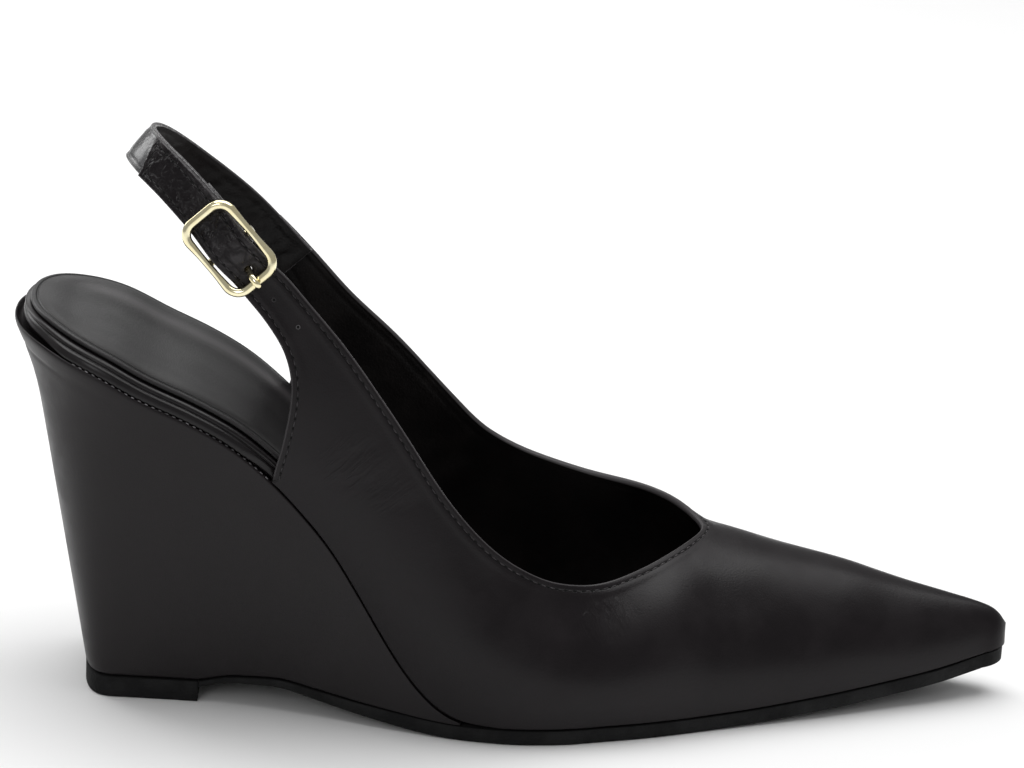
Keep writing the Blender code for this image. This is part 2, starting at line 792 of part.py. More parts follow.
def make_upper(route):
    points, faces = [], []

    def add(point):
        points.append(tuple(point))
        return len(points) - 1

    places = [blend(REAR_REACH, THROAT_X, i / 17) for i in range(18)]
    places += [blend(THROAT_X, TOE_START, i / 13) for i in range(1, 13)]
    places += [SHOE_LENGTH - p for p in quarter_turn(0.0, TOE_ROUND, TOE_STEPS)[::-1]]
    for side in (0, 1):
        columns = quarter_rows(side)
        for x in places:
            columns.append([(x, y, z) for y, z in section(x, side, ROWS)])
        grid = [[add(p) for p in column] for column in columns]
        for j in range(len(grid) - 1):
            for i in range(ROWS):
                face = (grid[j][i], grid[j + 1][i], grid[j + 1][i + 1], grid[j][i + 1])
                faces.append(face if side == 0 else face[::-1])
        if side == 0:
            root = grid[0][ROWS - TAIL_SEGMENTS :]
            marks, columns = tail_columns(route)
            tail = [root] + [[add(p) for p in column] for column in columns]
            slot = TAIL_SEGMENTS // 2
            hole_start = HOLE_START * HALF_BUCKLE
            hole_end = HOLE_END * HALF_BUCKLE
            for j in range(len(tail) - 1):
                in_hole = j > 0 and hole_end >= marks[j - 1] and marks[j] >= hole_start
                for i in range(TAIL_SEGMENTS):
                    if in_hole and i == slot:
                        continue
                    faces.append((tail[j + 1][i], tail[j][i], tail[j][i + 1], tail[j + 1][i + 1]))
    mesh = mesh_from("upper", points, faces)
    obj = add_object("upper", mesh, LEATHER)
    wall = obj.modifiers.new("wall", "SOLIDIFY")
    wall.thickness = WALL * MM
    wall.offset = -1.0
    wall.use_even_offset = False
    return obj


def make_sling_strap(route):
    """Strap with its end folded round the buckle's bar, and a slot there for the prong."""
    marks = across_marks()
    profile = []
    run = 34
    for i in range(run + 1):
        profile.append((blend(route.start, -HALF_BUCKLE, i / run), 0.0, False))
    for share in BEND_MARKS:
        distance = share * HALF_BUCKLE
        profile.append((distance, bump(distance, STRAP_OVER_BAR, 0.0), distance > -SLOT_REACH))
    radius = STRAP_OVER_BAR - BAR_LIFT
    for i in range(9):
        angle = math.pi / 2 - math.pi * i / 8
        profile.append((radius * math.cos(angle), BAR_LIFT + radius * math.sin(angle), True))
    under = BAR_LIFT - radius
    for distance in (*(share * HALF_BUCKLE for share in FOLD_MARKS), -FOLD_BACK):
        profile.append((distance, under, distance > -SLOT_REACH))
    points, faces = [], []
    grid = []
    for distance, lift, _ in profile:
        row = []
        for b in marks:
            points.append(tuple(route.place(distance, b, lift)))
            row.append(len(points) - 1)
        grid.append(row)
    slot = len(marks) // 2 - 1
    for j in range(len(grid) - 1):
        open_here = profile[j][2] or profile[j + 1][2]
        for i in range(len(marks) - 1):
            if open_here and i == slot:
                continue
            faces.append((grid[j][i], grid[j + 1][i], grid[j + 1][i + 1], grid[j][i + 1]))
    mesh = mesh_from("sling_strap", points, faces)
    obj = add_object("sling_strap", mesh, STRAP_LEATHER)
    wall = obj.modifiers.new("wall", "SOLIDIFY")
    wall.thickness = STRAP_THICK * MM
    wall.offset = 0.0
    return obj


def tube(rings, closed):
    """Faces of a tube through rings of equal count."""
    count = len(rings[0])
    points = [p for ring in rings for p in ring]
    faces = []
    spans = len(rings) if closed else len(rings) - 1
    for j in range(spans):
        a, b = j * count, (j + 1) % len(rings) * count
        for i in range(count):
            k = (i + 1) % count
            faces.append((a + i, b + i, b + k, a + k))
    if not closed:
        faces.append(tuple(range(count)))
        faces.append(tuple(range((len(rings) - 1) * count, len(rings) * count))[::-1])
    return points, faces


def ring_about(centre, along, up, half_wide, half_tall, count):
    """Oval ring at right angles to along."""
    side = along.cross(up).normalized()
    up = side.cross(along).normalized()
    return [
        centre + side * (half_wide * math.cos(a)) + up * (half_tall * math.sin(a))
        for a in (2 * math.pi * i / count for i in range(count))
    ]


def frame_bow(along):
    """Lift of the wire: low beside the bar, full at the corners."""
    share = abs(along) / (HALF_BUCKLE - BUCKLE_CORNER)
    return blend(BAR_LIFT, FRAME_END_LIFT, ease(share))


def make_buckle_frame(route):
    """Rounded rectangle of wire, bowed lengthwise, with a bar across its middle."""
    half_wide = BUCKLE_WIDTH / 2
    line = []
    corner = 5
    for ca, cb, start in (
        (HALF_BUCKLE - BUCKLE_CORNER, half_wide - BUCKLE_CORNER, 0.0),
        (-HALF_BUCKLE + BUCKLE_CORNER, half_wide - BUCKLE_CORNER, 0.5),
        (-HALF_BUCKLE + BUCKLE_CORNER, -half_wide + BUCKLE_CORNER, 1.0),
        (HALF_BUCKLE - BUCKLE_CORNER, -half_wide + BUCKLE_CORNER, 1.5),
    ):
        for i in range(corner + 1):
            angle = math.pi * (start + 0.5 * i / corner)
            line.append((ca + BUCKLE_CORNER * math.cos(angle), cb + BUCKLE_CORNER * math.sin(angle)))
        if start in (0.0, 1.0):
            sign = 1 if start == 0.0 else -1
            for share in (0.5, 0.0, -0.5):
                line.append((sign * share * (HALF_BUCKLE - BUCKLE_CORNER), sign * half_wide))
    _, _, out = route.frame(0.0)
    centres = [route.at_buckle(a, b, frame_bow(a)) for a, b in line]
    rings = []
    for i, centre in enumerate(centres):
        ahead = centres[(i + 1) % len(centres)]
        behind = centres[i - 1]
        share = ease((abs(line[i][0]) / HALF_BUCKLE - WIRE_GROWS) / (WIRE_FULL - WIRE_GROWS))
        radius = blend(RAIL_WIRE, BUCKLE_WIRE, share) / 2
        rings.append(ring_about(centre, (ahead - behind).normalized(), out, radius, radius, 10))
    points, faces = tube(rings, True)
    mesh = mesh_from("buckle_frame", points, faces)
    turn_outward(mesh)
    frame = add_object("buckle_frame", mesh, GOLD)

    ends = [route.at_buckle(0.0, b, BAR_LIFT) for b in (-half_wide, half_wide)]
    along = (ends[1] - ends[0]).normalized()
    rings = [ring_about(end, along, out, BAR_WIRE / 2, BAR_WIRE / 2, 12) for end in ends]
    points, faces = tube(rings, False)
    mesh = mesh_from("centre_bar", points, faces)
    turn_outward(mesh)
    bar = add_object("centre_bar", mesh, GOLD)
    bar.hide_render = True
    bar.display_type = "WIRE"
    joined = frame.modifiers.new("bar", "BOOLEAN")
    joined.operation = "UNION"
    joined.solver = "EXACT"
    joined.object = bar
    return [frame, bar]


def make_buckle_prong(route):
    """Prong looped round the bar, through the tail's hole and over the end bar."""
    line = []
    for i in range(13):
        angle = math.radians(blend(*PRONG_SWEEP, i / 12))
        line.append((PRONG_LOOP * math.cos(angle), BAR_LIFT + PRONG_LOOP * math.sin(angle)))
    for mark in PRONG_WAY:
        line.append((mark.along * HALF_BUCKLE, blend(BAR_LIFT, PRONG_TOP, mark.share)))
    centres = [route.at_buckle(a, 0.0, h) for a, h in line]
    _, width, _ = route.frame(0.0)
    rings = []
    for i, centre in enumerate(centres):
        behind = centres[max(i - 1, 0)]
        ahead = centres[min(i + 1, len(centres) - 1)]
        along = (ahead - behind).normalized()
        narrow = 1.0 if i < len(centres) - 1 else PRONG_TIP
        rings.append(ring_about(centre, along, width, PRONG_THICK / 2, PRONG_WIDTH / 2 * narrow, 8))
    points, faces = tube(rings, False)
    mesh = mesh_from("buckle_prong", points, faces)
    turn_outward(mesh)
    return add_object("buckle_prong", mesh, GOLD)


def centre_on_floor(objects):
    """Moves the meshes so that the box round the shoe is centred on the origin."""
    corners = np.array([v.co for o in objects for v in o.data.vertices])
    middle = (corners.min(axis=0) + corners.max(axis=0)) / 2
    shift = Vector((-middle[0], -middle[1], 0.0))
    for obj in objects:
        for vertex in obj.data.vertices:
            vertex.co += shift


def main():
    clear_scene()
    route = Route()
    objects = [
        make_outsole(),
        make_heel_tap(),
        make_wedge(),
        make_insole_board(),
        make_sock(),
        make_upper(route),
        make_sling_strap(route),
        make_buckle_prong(route),
        *make_buckle_frame(route),
    ]
    centre_on_floor(objects)


main()
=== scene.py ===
"""Looks of a pointed slingback wedge pump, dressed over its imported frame."""

import json
import logging
import math
from collections.abc import Callable, Iterable, Sequence
from dataclasses import dataclass
from enum import Enum

import bmesh
import bpy
import numpy as np
from mathutils import Matrix, Vector, noise
from mathutils.bvhtree import BVHTree
from mathutils.kdtree import KDTree

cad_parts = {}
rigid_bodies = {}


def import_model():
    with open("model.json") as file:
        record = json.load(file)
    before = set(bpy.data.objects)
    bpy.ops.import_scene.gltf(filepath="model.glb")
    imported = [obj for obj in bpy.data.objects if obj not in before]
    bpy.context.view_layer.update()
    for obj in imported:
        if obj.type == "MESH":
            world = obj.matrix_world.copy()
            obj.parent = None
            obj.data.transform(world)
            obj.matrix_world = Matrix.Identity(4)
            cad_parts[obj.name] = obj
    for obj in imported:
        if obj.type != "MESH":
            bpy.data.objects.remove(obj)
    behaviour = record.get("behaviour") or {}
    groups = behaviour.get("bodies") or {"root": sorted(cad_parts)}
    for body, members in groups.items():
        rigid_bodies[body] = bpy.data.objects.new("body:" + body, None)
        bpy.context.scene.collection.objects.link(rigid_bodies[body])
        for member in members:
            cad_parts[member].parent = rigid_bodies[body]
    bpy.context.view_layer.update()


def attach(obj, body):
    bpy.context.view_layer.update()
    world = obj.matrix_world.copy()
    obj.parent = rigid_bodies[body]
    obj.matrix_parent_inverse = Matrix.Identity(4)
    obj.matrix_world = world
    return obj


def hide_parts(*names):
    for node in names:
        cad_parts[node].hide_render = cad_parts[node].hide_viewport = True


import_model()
LOG = logging.getLogger("wedge_pump")

MM = 0.001
CENTRE = np.array([-120.0, 0.9, 0.0])
LENGTH = 240.0
HALF_BALL = 38.0
TOE_MIDDLE = 0.079 * HALF_BALL
TOE_REGION = 200.0
ROUTE_STEPS = 24
RIM_TURNS = 4
CORNER_STEPS = 1 - np.cos(np.pi / 2 * np.arange(25) / 24)


class Side(Enum):
    """A side of the shoe."""

    OUTER = -1
    INNER = 1


class Part(Enum):
    """Names of the shoe's material slots, passed with each piece but not read."""

    UPPER = "upper_leather"
    STRAP = "strap_leather"
    WEDGE = "wedge_leather"
    WELT = "welt_leather"
    SOCK = "sock_leather"
    RUBBER = "sole_rubber"
    GOLD = "buckle_gold"


# The last's sizes, shared with the frame, millimetres

OUTLINE = (
    (0.125, 0.816, 0.803), (0.188, 0.821, 0.776), (0.250, 0.816, 0.737), (0.313, 0.824, 0.726),
    (0.375, 0.882, 0.753), (0.417, 0.955, 0.797), (0.458, 1.016, 0.868), (0.500, 1.039, 0.937),
    (0.542, 1.018, 0.979), (0.583, 0.955, 0.989), (0.625, 0.882, 0.963), (0.688, 0.742, 0.863),
    (0.750, 0.605, 0.724), (0.813, 0.466, 0.579), (0.875, 0.316, 0.437), (0.925, 0.200, 0.326),
    (0.977, 0.061, 0.213), (1.000, 0.000, 0.160),
)
BASE = (
    (0.075, 0.505, 0.505), (0.125, 0.526, 0.520), (0.192, 0.553, 0.535), (0.250, 0.626, 0.572),
    (0.313, 0.738, 0.634), (0.375, 0.868, 0.721), (0.417, 0.950, 0.787), (0.458, 1.011, 0.861),
)
SEAM = (
    (0.000, 1.028), (0.029, 1.010), (0.058, 0.983), (0.090, 0.949), (0.129, 0.894), (0.177, 0.835),
    (0.213, 0.780), (0.254, 0.688), (0.286, 0.596), (0.313, 0.505), (0.342, 0.380), (0.368, 0.261),
    (0.386, 0.186), (0.402, 0.132), (0.421, 0.084), (0.440, 0.057), (0.458, 0.047), (0.475, 0.045),
)
ARCH = (
    (0.190, 0.62), (0.225, 0.93), (0.265, 1.00), (0.305, 0.72), (0.345, 0.42), (0.380, 0.22),
    (0.410, 0.08), (0.435, 0.00),
)
SPRING = (
    (0.675, 0.00), (0.730, 0.05), (0.795, 0.18), (0.857, 0.34), (0.920, 0.56), (0.960, 0.76),
    (1.000, 1.00),
)
COLLAR_OUTER = (
    (0.210, 0.760, 1.130, 3), (0.256, 0.803, 0.994, 4), (0.293, 0.842, 0.859, 5),
    (0.317, 0.855, 0.768, 6), (0.376, 0.895, 0.500, 6), (0.427, 0.921, 0.249, 7),
    (0.467, 0.908, 0.100, 10), (0.497, 0.868, 0.022, 16), (0.537, 0.776, -0.046, 28),
    (0.577, 0.645, -0.070, 42), (0.618, 0.474, -0.048, 56), (0.658, 0.245, -0.013, 72),
    (0.688, -0.053, 0.000, 90),
)
COLLAR_INNER = (
    (0.210, 0.705, 1.060, 3), (0.250, 0.768, 0.935, 4), (0.284, 0.789, 0.807, 5),
    (0.323, 0.803, 0.660, 5), (0.375, 0.816, 0.498, 6), (0.429, 0.842, 0.305, 7),
    (0.471, 0.829, 0.174, 10), (0.524, 0.789, 0.098, 18), (0.584, 0.684, 0.058, 34),
    (0.633, 0.540, 0.045, 52), (0.669, 0.340, 0.022, 70), (0.688, 0.053, 0.000, 90),
)
RIDGE = (
    (0.688, 0.053, 1.000), (0.722, 0.060, 0.948), (0.764, 0.066, 0.865), (0.836, 0.074, 0.728),
    (0.888, 0.078, 0.600), (0.940, 0.079, 0.470), (0.971, 0.079, 0.385), (0.990, 0.079, 0.305),
    (1.000, 0.079, 0.215),
)
BACK_OUTER = (
    (0.00, 0.2563), (0.10, 0.2598), (0.20, 0.2645), (0.31, 0.2682), (0.43, 0.2717),
    (0.54, 0.2729), (0.62, 0.2714), (0.75, 0.2640), (0.85, 0.2525), (1.00, 0.2307),
)
BACK_INNER = (
    (0.00, 0.2580), (0.16, 0.2680), (0.36, 0.2745), (0.58, 0.2700), (0.80, 0.2515),
    (1.00, 0.2165),
)
END_OUTER = (0.2363, 0.879, 0.2563)
END_INNER = (0.2210, 0.833, 0.2510)
STRAP_WAY = (
    (0.2690, 0.979, 0.160), (0.2150, 0.929, 0.470), (0.1596, 0.721, 0.740), (0.1297, 0.307, 0.920),
    (0.1200, -0.107, 0.991), (0.1330, -0.493, 0.980), (0.1596, -0.761, 0.897),
    (0.1846, -0.907, 0.780), (0.2129, -0.964, 0.614), (0.2500, -1.018, 0.400),
)
WEDGE_SIDE = (
    (0.000, 0.00), (0.120, 0.13), (0.300, 0.32), (0.500, 0.54), (0.700, 0.76), (0.780, 0.83),
    (0.830, 0.80), (0.880, 0.64), (0.910, 0.49), (0.940, 0.33), (0.965, 0.14), (0.985, 0.02),
    (1.000, 0.00),
)
PRONG_WAY = (
    (0.311, 0.187), (0.446, 0.175), (0.580, 0.296), (0.694, 0.546), (0.777, 0.766),
    (0.834, 0.899), (0.927, 0.978), (1.031, 1.000), (1.145, 0.917),
)
BUCKLE_ALONG = 8


def ease(t: np.ndarray | float) -> np.ndarray:
    """Smooth step from 0 to 1."""
    t = np.clip(t, 0.0, 1.0)
    return t * t * (3 - 2 * t)


def blend(a: np.ndarray | float, b: np.ndarray | float, t: np.ndarray | float) -> np.ndarray:
    """Straight mix of a and b."""
    return a + (b - a) * t


def window(x: np.ndarray, start: float, rise: float, end: float, fall: float) -> np.ndarray:
    """Rises from 0 to 1 past a start, and falls to 0 again past an end."""
    return ease((x - start) / rise) * (1 - ease((x - end) / fall))


def hump(x: np.ndarray | float, middle: float, width: float) -> np.ndarray:
    """Soft bump of height 1 round a middle."""
    return np.exp(-(((x - middle) / width) ** 2))


def ripple(point: np.ndarray, waves: Sequence[tuple[float, float]]) -> float:
    """Sum of soft noises, each with its scale and its depth."""
    return sum(noise.noise(Vector(point) * scale) * depth for scale, depth in waves)


class Track:
    """A smooth curve that keeps the rises and falls of a short table."""

    def __init__(self, rows: Sequence[Sequence[float]], column: int) -> None:
        """Takes the first column as the way along, and column as the value."""
        self.x = np.array([row[0] for row in rows], float)
        self.y = np.array([row[column] for row in rows], float)
        self.step = np.diff(self.x)
        slope = np.diff(self.y) / self.step
        self.tangent = np.zeros(len(self.x))
        for i in range(1, len(self.x) - 1):
            if slope[i - 1] * slope[i] > 0:
                a = 2 * self.step[i] + self.step[i - 1]
                b = self.step[i] + 2 * self.step[i - 1]
                self.tangent[i] = (a + b) / (a / slope[i - 1] + b / slope[i])
        self.tangent[0], self.tangent[-1] = slope[0], slope[-1]

    def __call__(self, at: np.ndarray | float) -> np.ndarray:
        """Value at each place, flat past the ends."""
        at = np.clip(at, self.x[0], self.x[-1])
        i = np.clip(np.searchsorted(self.x, at, side="right") - 1, 0, len(self.x) - 2)
        t = (at - self.x[i]) / self.step[i]
        return (
            self.y[i] * (1 + 2 * t) * (1 - t) ** 2
            + self.tangent[i] * self.step[i] * t * (1 - t) ** 2
            + self.y[i + 1] * t * t * (3 - 2 * t)
            + self.tangent[i + 1] * self.step[i] * t * t * (t - 1)
        )


@dataclass
class Last:
    """Form of the foot's last, the sole under it and the seam between them."""

    length: float = LENGTH
    half_ball: float = HALF_BALL
    heel_height: float = 87.3
    toe_spring: float = 8.9
    arch_height: float = 6.0
    throat_height: float = 40.3
    quarter_rise: float = 24.5
    toe_round: float = 5.5
    seat_round: float = 30.0
    seat_power: float = 2.15
    outsole: float = 3.6
    outsole_thin: float = 0.42
    undercut: float = 17.8
    tap_length: float = 27.5
    tap_corner: float = 9.0
    gap: float = 0.3
    sole_swell: float = 58.0
    tread_front: float = 0.435
    tread_blend: float = 20.0
    bulge: float = 16.0
    bulge_fade: float = 30.0
    most_rise: float = 22.0
    crown_pull: float = 0.55
    wall_pull: float = 0.62

    def __post_init__(self) -> None:
        """Builds the curves of the tables."""
        self.outline_tracks = {side: Track(OUTLINE, c) for c, side in enumerate(Side, 1)}
        self.base_tracks = {side: Track(BASE, c) for c, side in enumerate(Side, 1)}
        tables = {Side.OUTER: COLLAR_OUTER, Side.INNER: COLLAR_INNER}
        self.collar_tracks = {s: [Track(rows, c) for c in (1, 2, 3)] for s, rows in tables.items()}
        self.ridge_tracks = [Track(RIDGE, 1), Track(RIDGE, 2)]
        self.seam_track = Track(SEAM, 1)
        self.arch_track = Track(ARCH, 1)
        self.spring_track = Track(SPRING, 1)
        self.toe_start = self.length - self.toe_round
        self.throat = COLLAR_OUTER[-1][0] * self.length
        self.quarter_top = self.heel_height + self.quarter_rise
        self.tap_end = self.undercut + self.tap_length
        self.sole_start = self.tap_end + self.gap

    def under(self, x: np.ndarray) -> np.ndarray:
        """Height of the sole's underside."""
        along = np.asarray(x, float) / self.length
        arch = self.arch_height * self.arch_track(along)
        spring = self.toe_spring * self.spring_track(along)
        return np.where(along < ARCH[-1][0], arch, np.where(along > SPRING[0][0], spring, 0.0))

    def thickness(self, x: np.ndarray) -> np.ndarray:
        """Thickness of the sole."""
        swell = ease((np.asarray(x, float) - self.sole_start) / self.sole_swell)
        return blend(self.outsole_thin, 1.0, swell) * self.outsole

    def seam(self, x: np.ndarray) -> np.ndarray:
        """Height of the seam under the upper."""
        x = np.asarray(x, float)
        on_wedge = np.maximum(self.heel_height * self.seam_track(x / self.length), self.outsole)
        ahead = x > SEAM[-1][0] * self.length
        return np.where(ahead, self.under(x) + self.outsole, on_wedge)

    def slope(self, x: np.ndarray) -> np.ndarray:
        """Slope of the seam."""
        return self.seam(x + 0.5) - self.seam(x - 0.5)

    def lifted(self, x: np.ndarray, lift: np.ndarray | float) -> tuple[np.ndarray, np.ndarray]:
        """Place along and height of points over the seam, moved along its own upright."""
        slope = self.slope(x)
        long = np.hypot(1.0, slope)
        return x - lift * slope / long, self.seam(x) + lift / long

    def outline(self, x: np.ndarray, side: Side) -> np.ndarray:
        """Signed half width of the last."""
        x = np.asarray(x, float)
        track = self.outline_tracks[side]
        body = side.value * self.half_ball * track(x / self.length)
        wide = self.half_ball * track(self.seat_round / self.length)
        back = 1 - np.clip(x / self.seat_round, 0, 1)
        seat = side.value * wide * (1 - back**self.seat_power) ** (1 / self.seat_power)
        shoulder = side.value * self.half_ball * track(self.toe_start / self.length)
        ahead = np.clip((x - self.toe_start) / self.toe_round, 0, 1)
        toe = TOE_MIDDLE + (shoulder - TOE_MIDDLE) * np.sqrt(1 - ahead**2)
        return np.where(x < self.seat_round, seat, np.where(x > self.toe_start, toe, body))

    def base(self, x: np.ndarray, side: Side) -> np.ndarray:
        """Signed half width of the wedge's underside, with its squared back."""
        x = np.asarray(x, float)
        track = self.base_tracks[side]
        start = self.undercut + self.tap_corner
        wide = self.half_ball * track(start / self.length)
        share = 1 - np.clip((x - self.undercut) / self.tap_corner, 0, 1)
        corner = side.value * wide * (1 - share**3) ** (1 / 3)
        return np.where(x < start, corner, side.value * self.half_ball * track(x / self.length))

    def tread(self, x: np.ndarray, side: Side) -> np.ndarray:
        """Signed half width of the sole, which widens from the wedge to the last."""
        front = np.array(self.tread_front * self.length)
        narrow = self.base(front, side) / self.outline(front, side)
        wide = self.outline(x, side) * blend(narrow, 1.0, ease((x - front) / self.tread_blend))
        return np.where(x < front, self.base(x, side), wide)

    def collar(self, x: np.ndarray, side: Side) -> tuple[np.ndarray, np.ndarray, np.ndarray]:
        """Edge of the opening: across, height and lean."""
        along = np.asarray(x, float) / self.length
        across, climb, lean = (track(along) for track in self.collar_tracks[side])
        height = blend(self.throat_height, self.quarter_top, climb)
        return side.value * self.half_ball * across, height, np.radians(lean)

    def ridge(self, x: np.ndarray) -> tuple[np.ndarray, np.ndarray, np.ndarray]:
        """Top line of the vamp: across, height and lean."""
        along = np.asarray(x, float) / self.length
        across = self.half_ball * self.ridge_tracks[0](along)
        height = self.under(x) + self.throat_height * self.ridge_tracks[1](along)
        return across, height, np.full(np.shape(across), math.pi / 2)

    def section(self, x: float, side: Side, t: np.ndarray) -> np.ndarray:
        """Across and height of one side's section, from the seam at 0 to its top at 1."""
        foot = np.array([self.outline(x, side), self.seam(x) + self.gap], float)
        across, height, lean = self.ridge(x) if x >= self.throat else self.collar(x, side)
        top = np.array([across, height], float)
        tall = top[1] - foot[1]
        wide = abs(foot[0] - top[0])
        bulge = math.radians(self.bulge) * float(ease((self.length - x) / self.bulge_fade))
        rise = min(0.5 * tall, self.most_rise)
        upright = abs(math.cos(lean)) * self.wall_pull * tall
        reach = self.crown_pull * (upright + abs(math.sin(lean)) * wide)
        low = foot + rise * np.array([side.value * math.sin(bulge), math.cos(bulge)])
        high = top + reach * np.array([side.value * math.sin(lean), -math.cos(lean)])
        t = np.asarray(t, float)[:, None]
        return (
            (1 - t) ** 3 * foot + 3 * (1 - t) ** 2 * t * low + 3 * (1 - t) * t * t * high + t**3 * top
        )

    def wall(self, x: float, z: float, side: Side) -> float:
        """Place across of the upper's outer face at x and height z."""
        curve = self.section(x, side, np.linspace(0, 1, 60))
        return float(np.interp(z, curve[:, 1], curve[:, 0]))

    def stations(self, start: float, end: float, steps: int) -> np.ndarray:
        """Places along the shoe, close together where the outline turns."""
        turn = np.pi / 2 * np.arange(steps // 4 + 1) / (steps // 4)
        places = np.concatenate([
            self.seat_round * (1 - np.cos(turn[:-1])),
            np.linspace(self.seat_round, self.toe_start, steps)[:-1],
            self.toe_start + self.toe_round * np.sin(turn),
        ])
        clear, touch = 0.8, 0.01
        near = start + (clear if start > 0 else touch)
        far = end - (clear if end < self.length else touch)
        kept = places[(places > near) & (places < far)]
        return np.concatenate([[start], kept, [end]])


@dataclass
class StrapRoute:
    """Route of the sling strap, with distances measured from the buckle's bar."""

    last: Last
    half_span: float = 28.0
    rise: float = 44.5
    lean: tuple[float, float, float] = (0.62, 0.0, 0.78)

    def __post_init__(self) -> None:
        """Lays a smooth line through the knots."""
        knots = np.array([
            (a * self.last.length, y * self.half_span, self.last.heel_height + r * self.rise)
            for a, y, r in STRAP_WAY
        ])
        self.spots = smooth_line(knots, ROUTE_STEPS)
        steps = np.linalg.norm(np.diff(self.spots, axis=0), axis=1)
        self.along = np.concatenate([[0.0], np.cumsum(steps)])
        self.along -= self.along[BUCKLE_ALONG * ROUTE_STEPS]

    def spot(self, distance: float) -> np.ndarray:
        """Point on the route."""
        return np.array([np.interp(distance, self.along, self.spots[:, k]) for k in range(3)])

    def axes(self, distance: float) -> tuple[np.ndarray, np.ndarray, np.ndarray]:
        """Tangent, width and outward directions."""
        low, high = max(distance - 1.5, self.along[0]), min(distance + 1.5, self.along[-1])
        tangent = self.spot(high) - self.spot(low)
        tangent /= np.linalg.norm(tangent)
        lean = np.array(self.lean)
        width = lean - tangent * lean.dot(tangent)
        width /= np.linalg.norm(width)
        return tangent, width, np.cross(tangent, width)

    def place(self, distance: float, across: float, lift: float) -> np.ndarray:
        """Point beside and over the route."""
        _, width, out = self.axes(distance)
        return self.spot(distance) + width * across + out * lift

    def at_buckle(self, along: float, across: float, lift: float) -> np.ndarray:
        """Point in the flat frame of the buckle."""
        tangent, width, out = self.axes(0.0)
        return self.spot(0.0) + tangent * along + width * across + out * lift


@dataclass(frozen=True)
class Layers:
    """Thicknesses of what lies at the buckle, and their heights over the strap's route."""

    wall: float = 1.6
    strap_width: float = 9.8
    strap: float = 1.3
    wire: float = 2.1
    rail: float = 1.6
    bar: float = 1.8
    rail_clearance: float = 0.5
    buckle_length: float = 19.3
    corner: float = 3.4
    prong_width: float = 1.8
    prong: float = 1.0
    gap: float = 0.3
    bar_lift: float = 0.3

    @property
    def half_buckle(self) -> float:
        """Half the buckle's length."""
        return self.buckle_length / 2

    @property
    def half_frame(self) -> float:
        """Half the buckle's width, between the middles of its rails."""
        return (self.strap_width + self.rail) / 2 + self.rail_clearance

    @property
    def strap_over_bar(self) -> float:
        """Middle of the strap over the bar."""
        return self.bar_lift + self.bar / 2 + self.gap + self.strap / 2

    @property
    def tail_over_strap(self) -> float:
        """Outer face of the tail where it lies on the strap."""
        return self.strap / 2 + self.gap + self.wall

    @property
    def frame_end(self) -> float:
        """Middle of the buckle's end wires."""
        return self.tail_over_strap + self.gap + self.wire / 2

    @property
    def slot_half(self) -> float:
        """Half width of the prong's slot."""
        return self.prong_width / 2 + 0.4

    def marks(self, slot: float) -> list[float]:
        """Places across the strap, on both sides of a slot of this half width."""
        half = self.strap_width / 2
        middle = (half + slot) / 2
        return [-half, -middle, -slot, slot, middle, half]

    def bump(self, distance: float, over: float, flat: float) -> float:
        """Height of a layer that passes over the bar."""
        share = max(0.0, 1 - abs(distance) / (0.9 * self.half_buckle))
        return flat + (over - flat) * float(ease(share))


# Meshes


def metres(points: Sequence) -> np.ndarray:
    """Points of the last's millimetres in the scene's metres."""
    return (np.asarray(points, float) + CENTRE) * MM


def add_object(name: str, data: bpy.types.ID) -> bpy.types.Object:
    """Puts a mesh, a camera or a light in the scene."""
    obj = bpy.data.objects.new(name, data)
    bpy.context.collection.objects.link(obj)
    return obj


def place_mesh(
    name: str,
    points: Iterable[Sequence[float]],
    faces: Iterable[Sequence[int]],
    materials: Sequence[bpy.types.Material],
    closed: bool = True,
) -> bpy.types.Object:
    """Makes a piece from points in the last's millimetres.

    Args:
        name: the piece's name.
        points: corners, in millimetres.
        faces: corner numbers of each face.
        materials: its materials, the first for every face.
        closed: whether the faces close a solid, which is then turned outwards.

    Returns:
        The new object, at the origin.
    """
    bm = bmesh.new()
    verts = [bm.verts.new(Vector(metres(p))) for p in points]
    for face in faces:
        corners = [verts[i] for i in dict.fromkeys(face)]
        if len(corners) > 2:
            bm.faces.new(corners)
    bmesh.ops.remove_doubles(bm, verts=bm.verts, dist=0.000005)
    bmesh.ops.dissolve_degenerate(bm, dist=0.000001, edges=bm.edges)
    if closed:
        bmesh.ops.recalc_face_normals(bm, faces=bm.faces)
        if bm.calc_volume(signed=True) < 0:
            bmesh.ops.reverse_faces(bm, faces=bm.faces)
    mesh = bpy.data.meshes.new(name)
    bm.to_mesh(mesh)
    bm.free()
    mesh.shade_smooth()
    for material in materials:
        mesh.materials.append(material)
    return add_object(name, mesh)


def settle(obj: bpy.types.Object) -> bpy.types.Object:
    """Turns a piece's modifiers into plain mesh."""
    depsgraph = bpy.context.evaluated_depsgraph_get()
    depsgraph.update()
    mesh = bpy.data.meshes.new_from_object(
        obj.evaluated_get(depsgraph), preserve_all_data_layers=True, depsgraph=depsgraph
    )
    obj.modifiers.clear()
    worn = obj.data
    obj.data = mesh
    bpy.data.meshes.remove(worn)
    return obj


def subdivide(obj: bpy.types.Object, levels: int) -> bpy.types.Object:
    """Smooths a piece by subdivision, keeping the corners of its open edges."""
    smooth = obj.modifiers.new("smooth", "SUBSURF")
    smooth.levels = levels
    smooth.render_levels = levels
    smooth.boundary_smooth = "PRESERVE_CORNERS"
    return settle(obj)


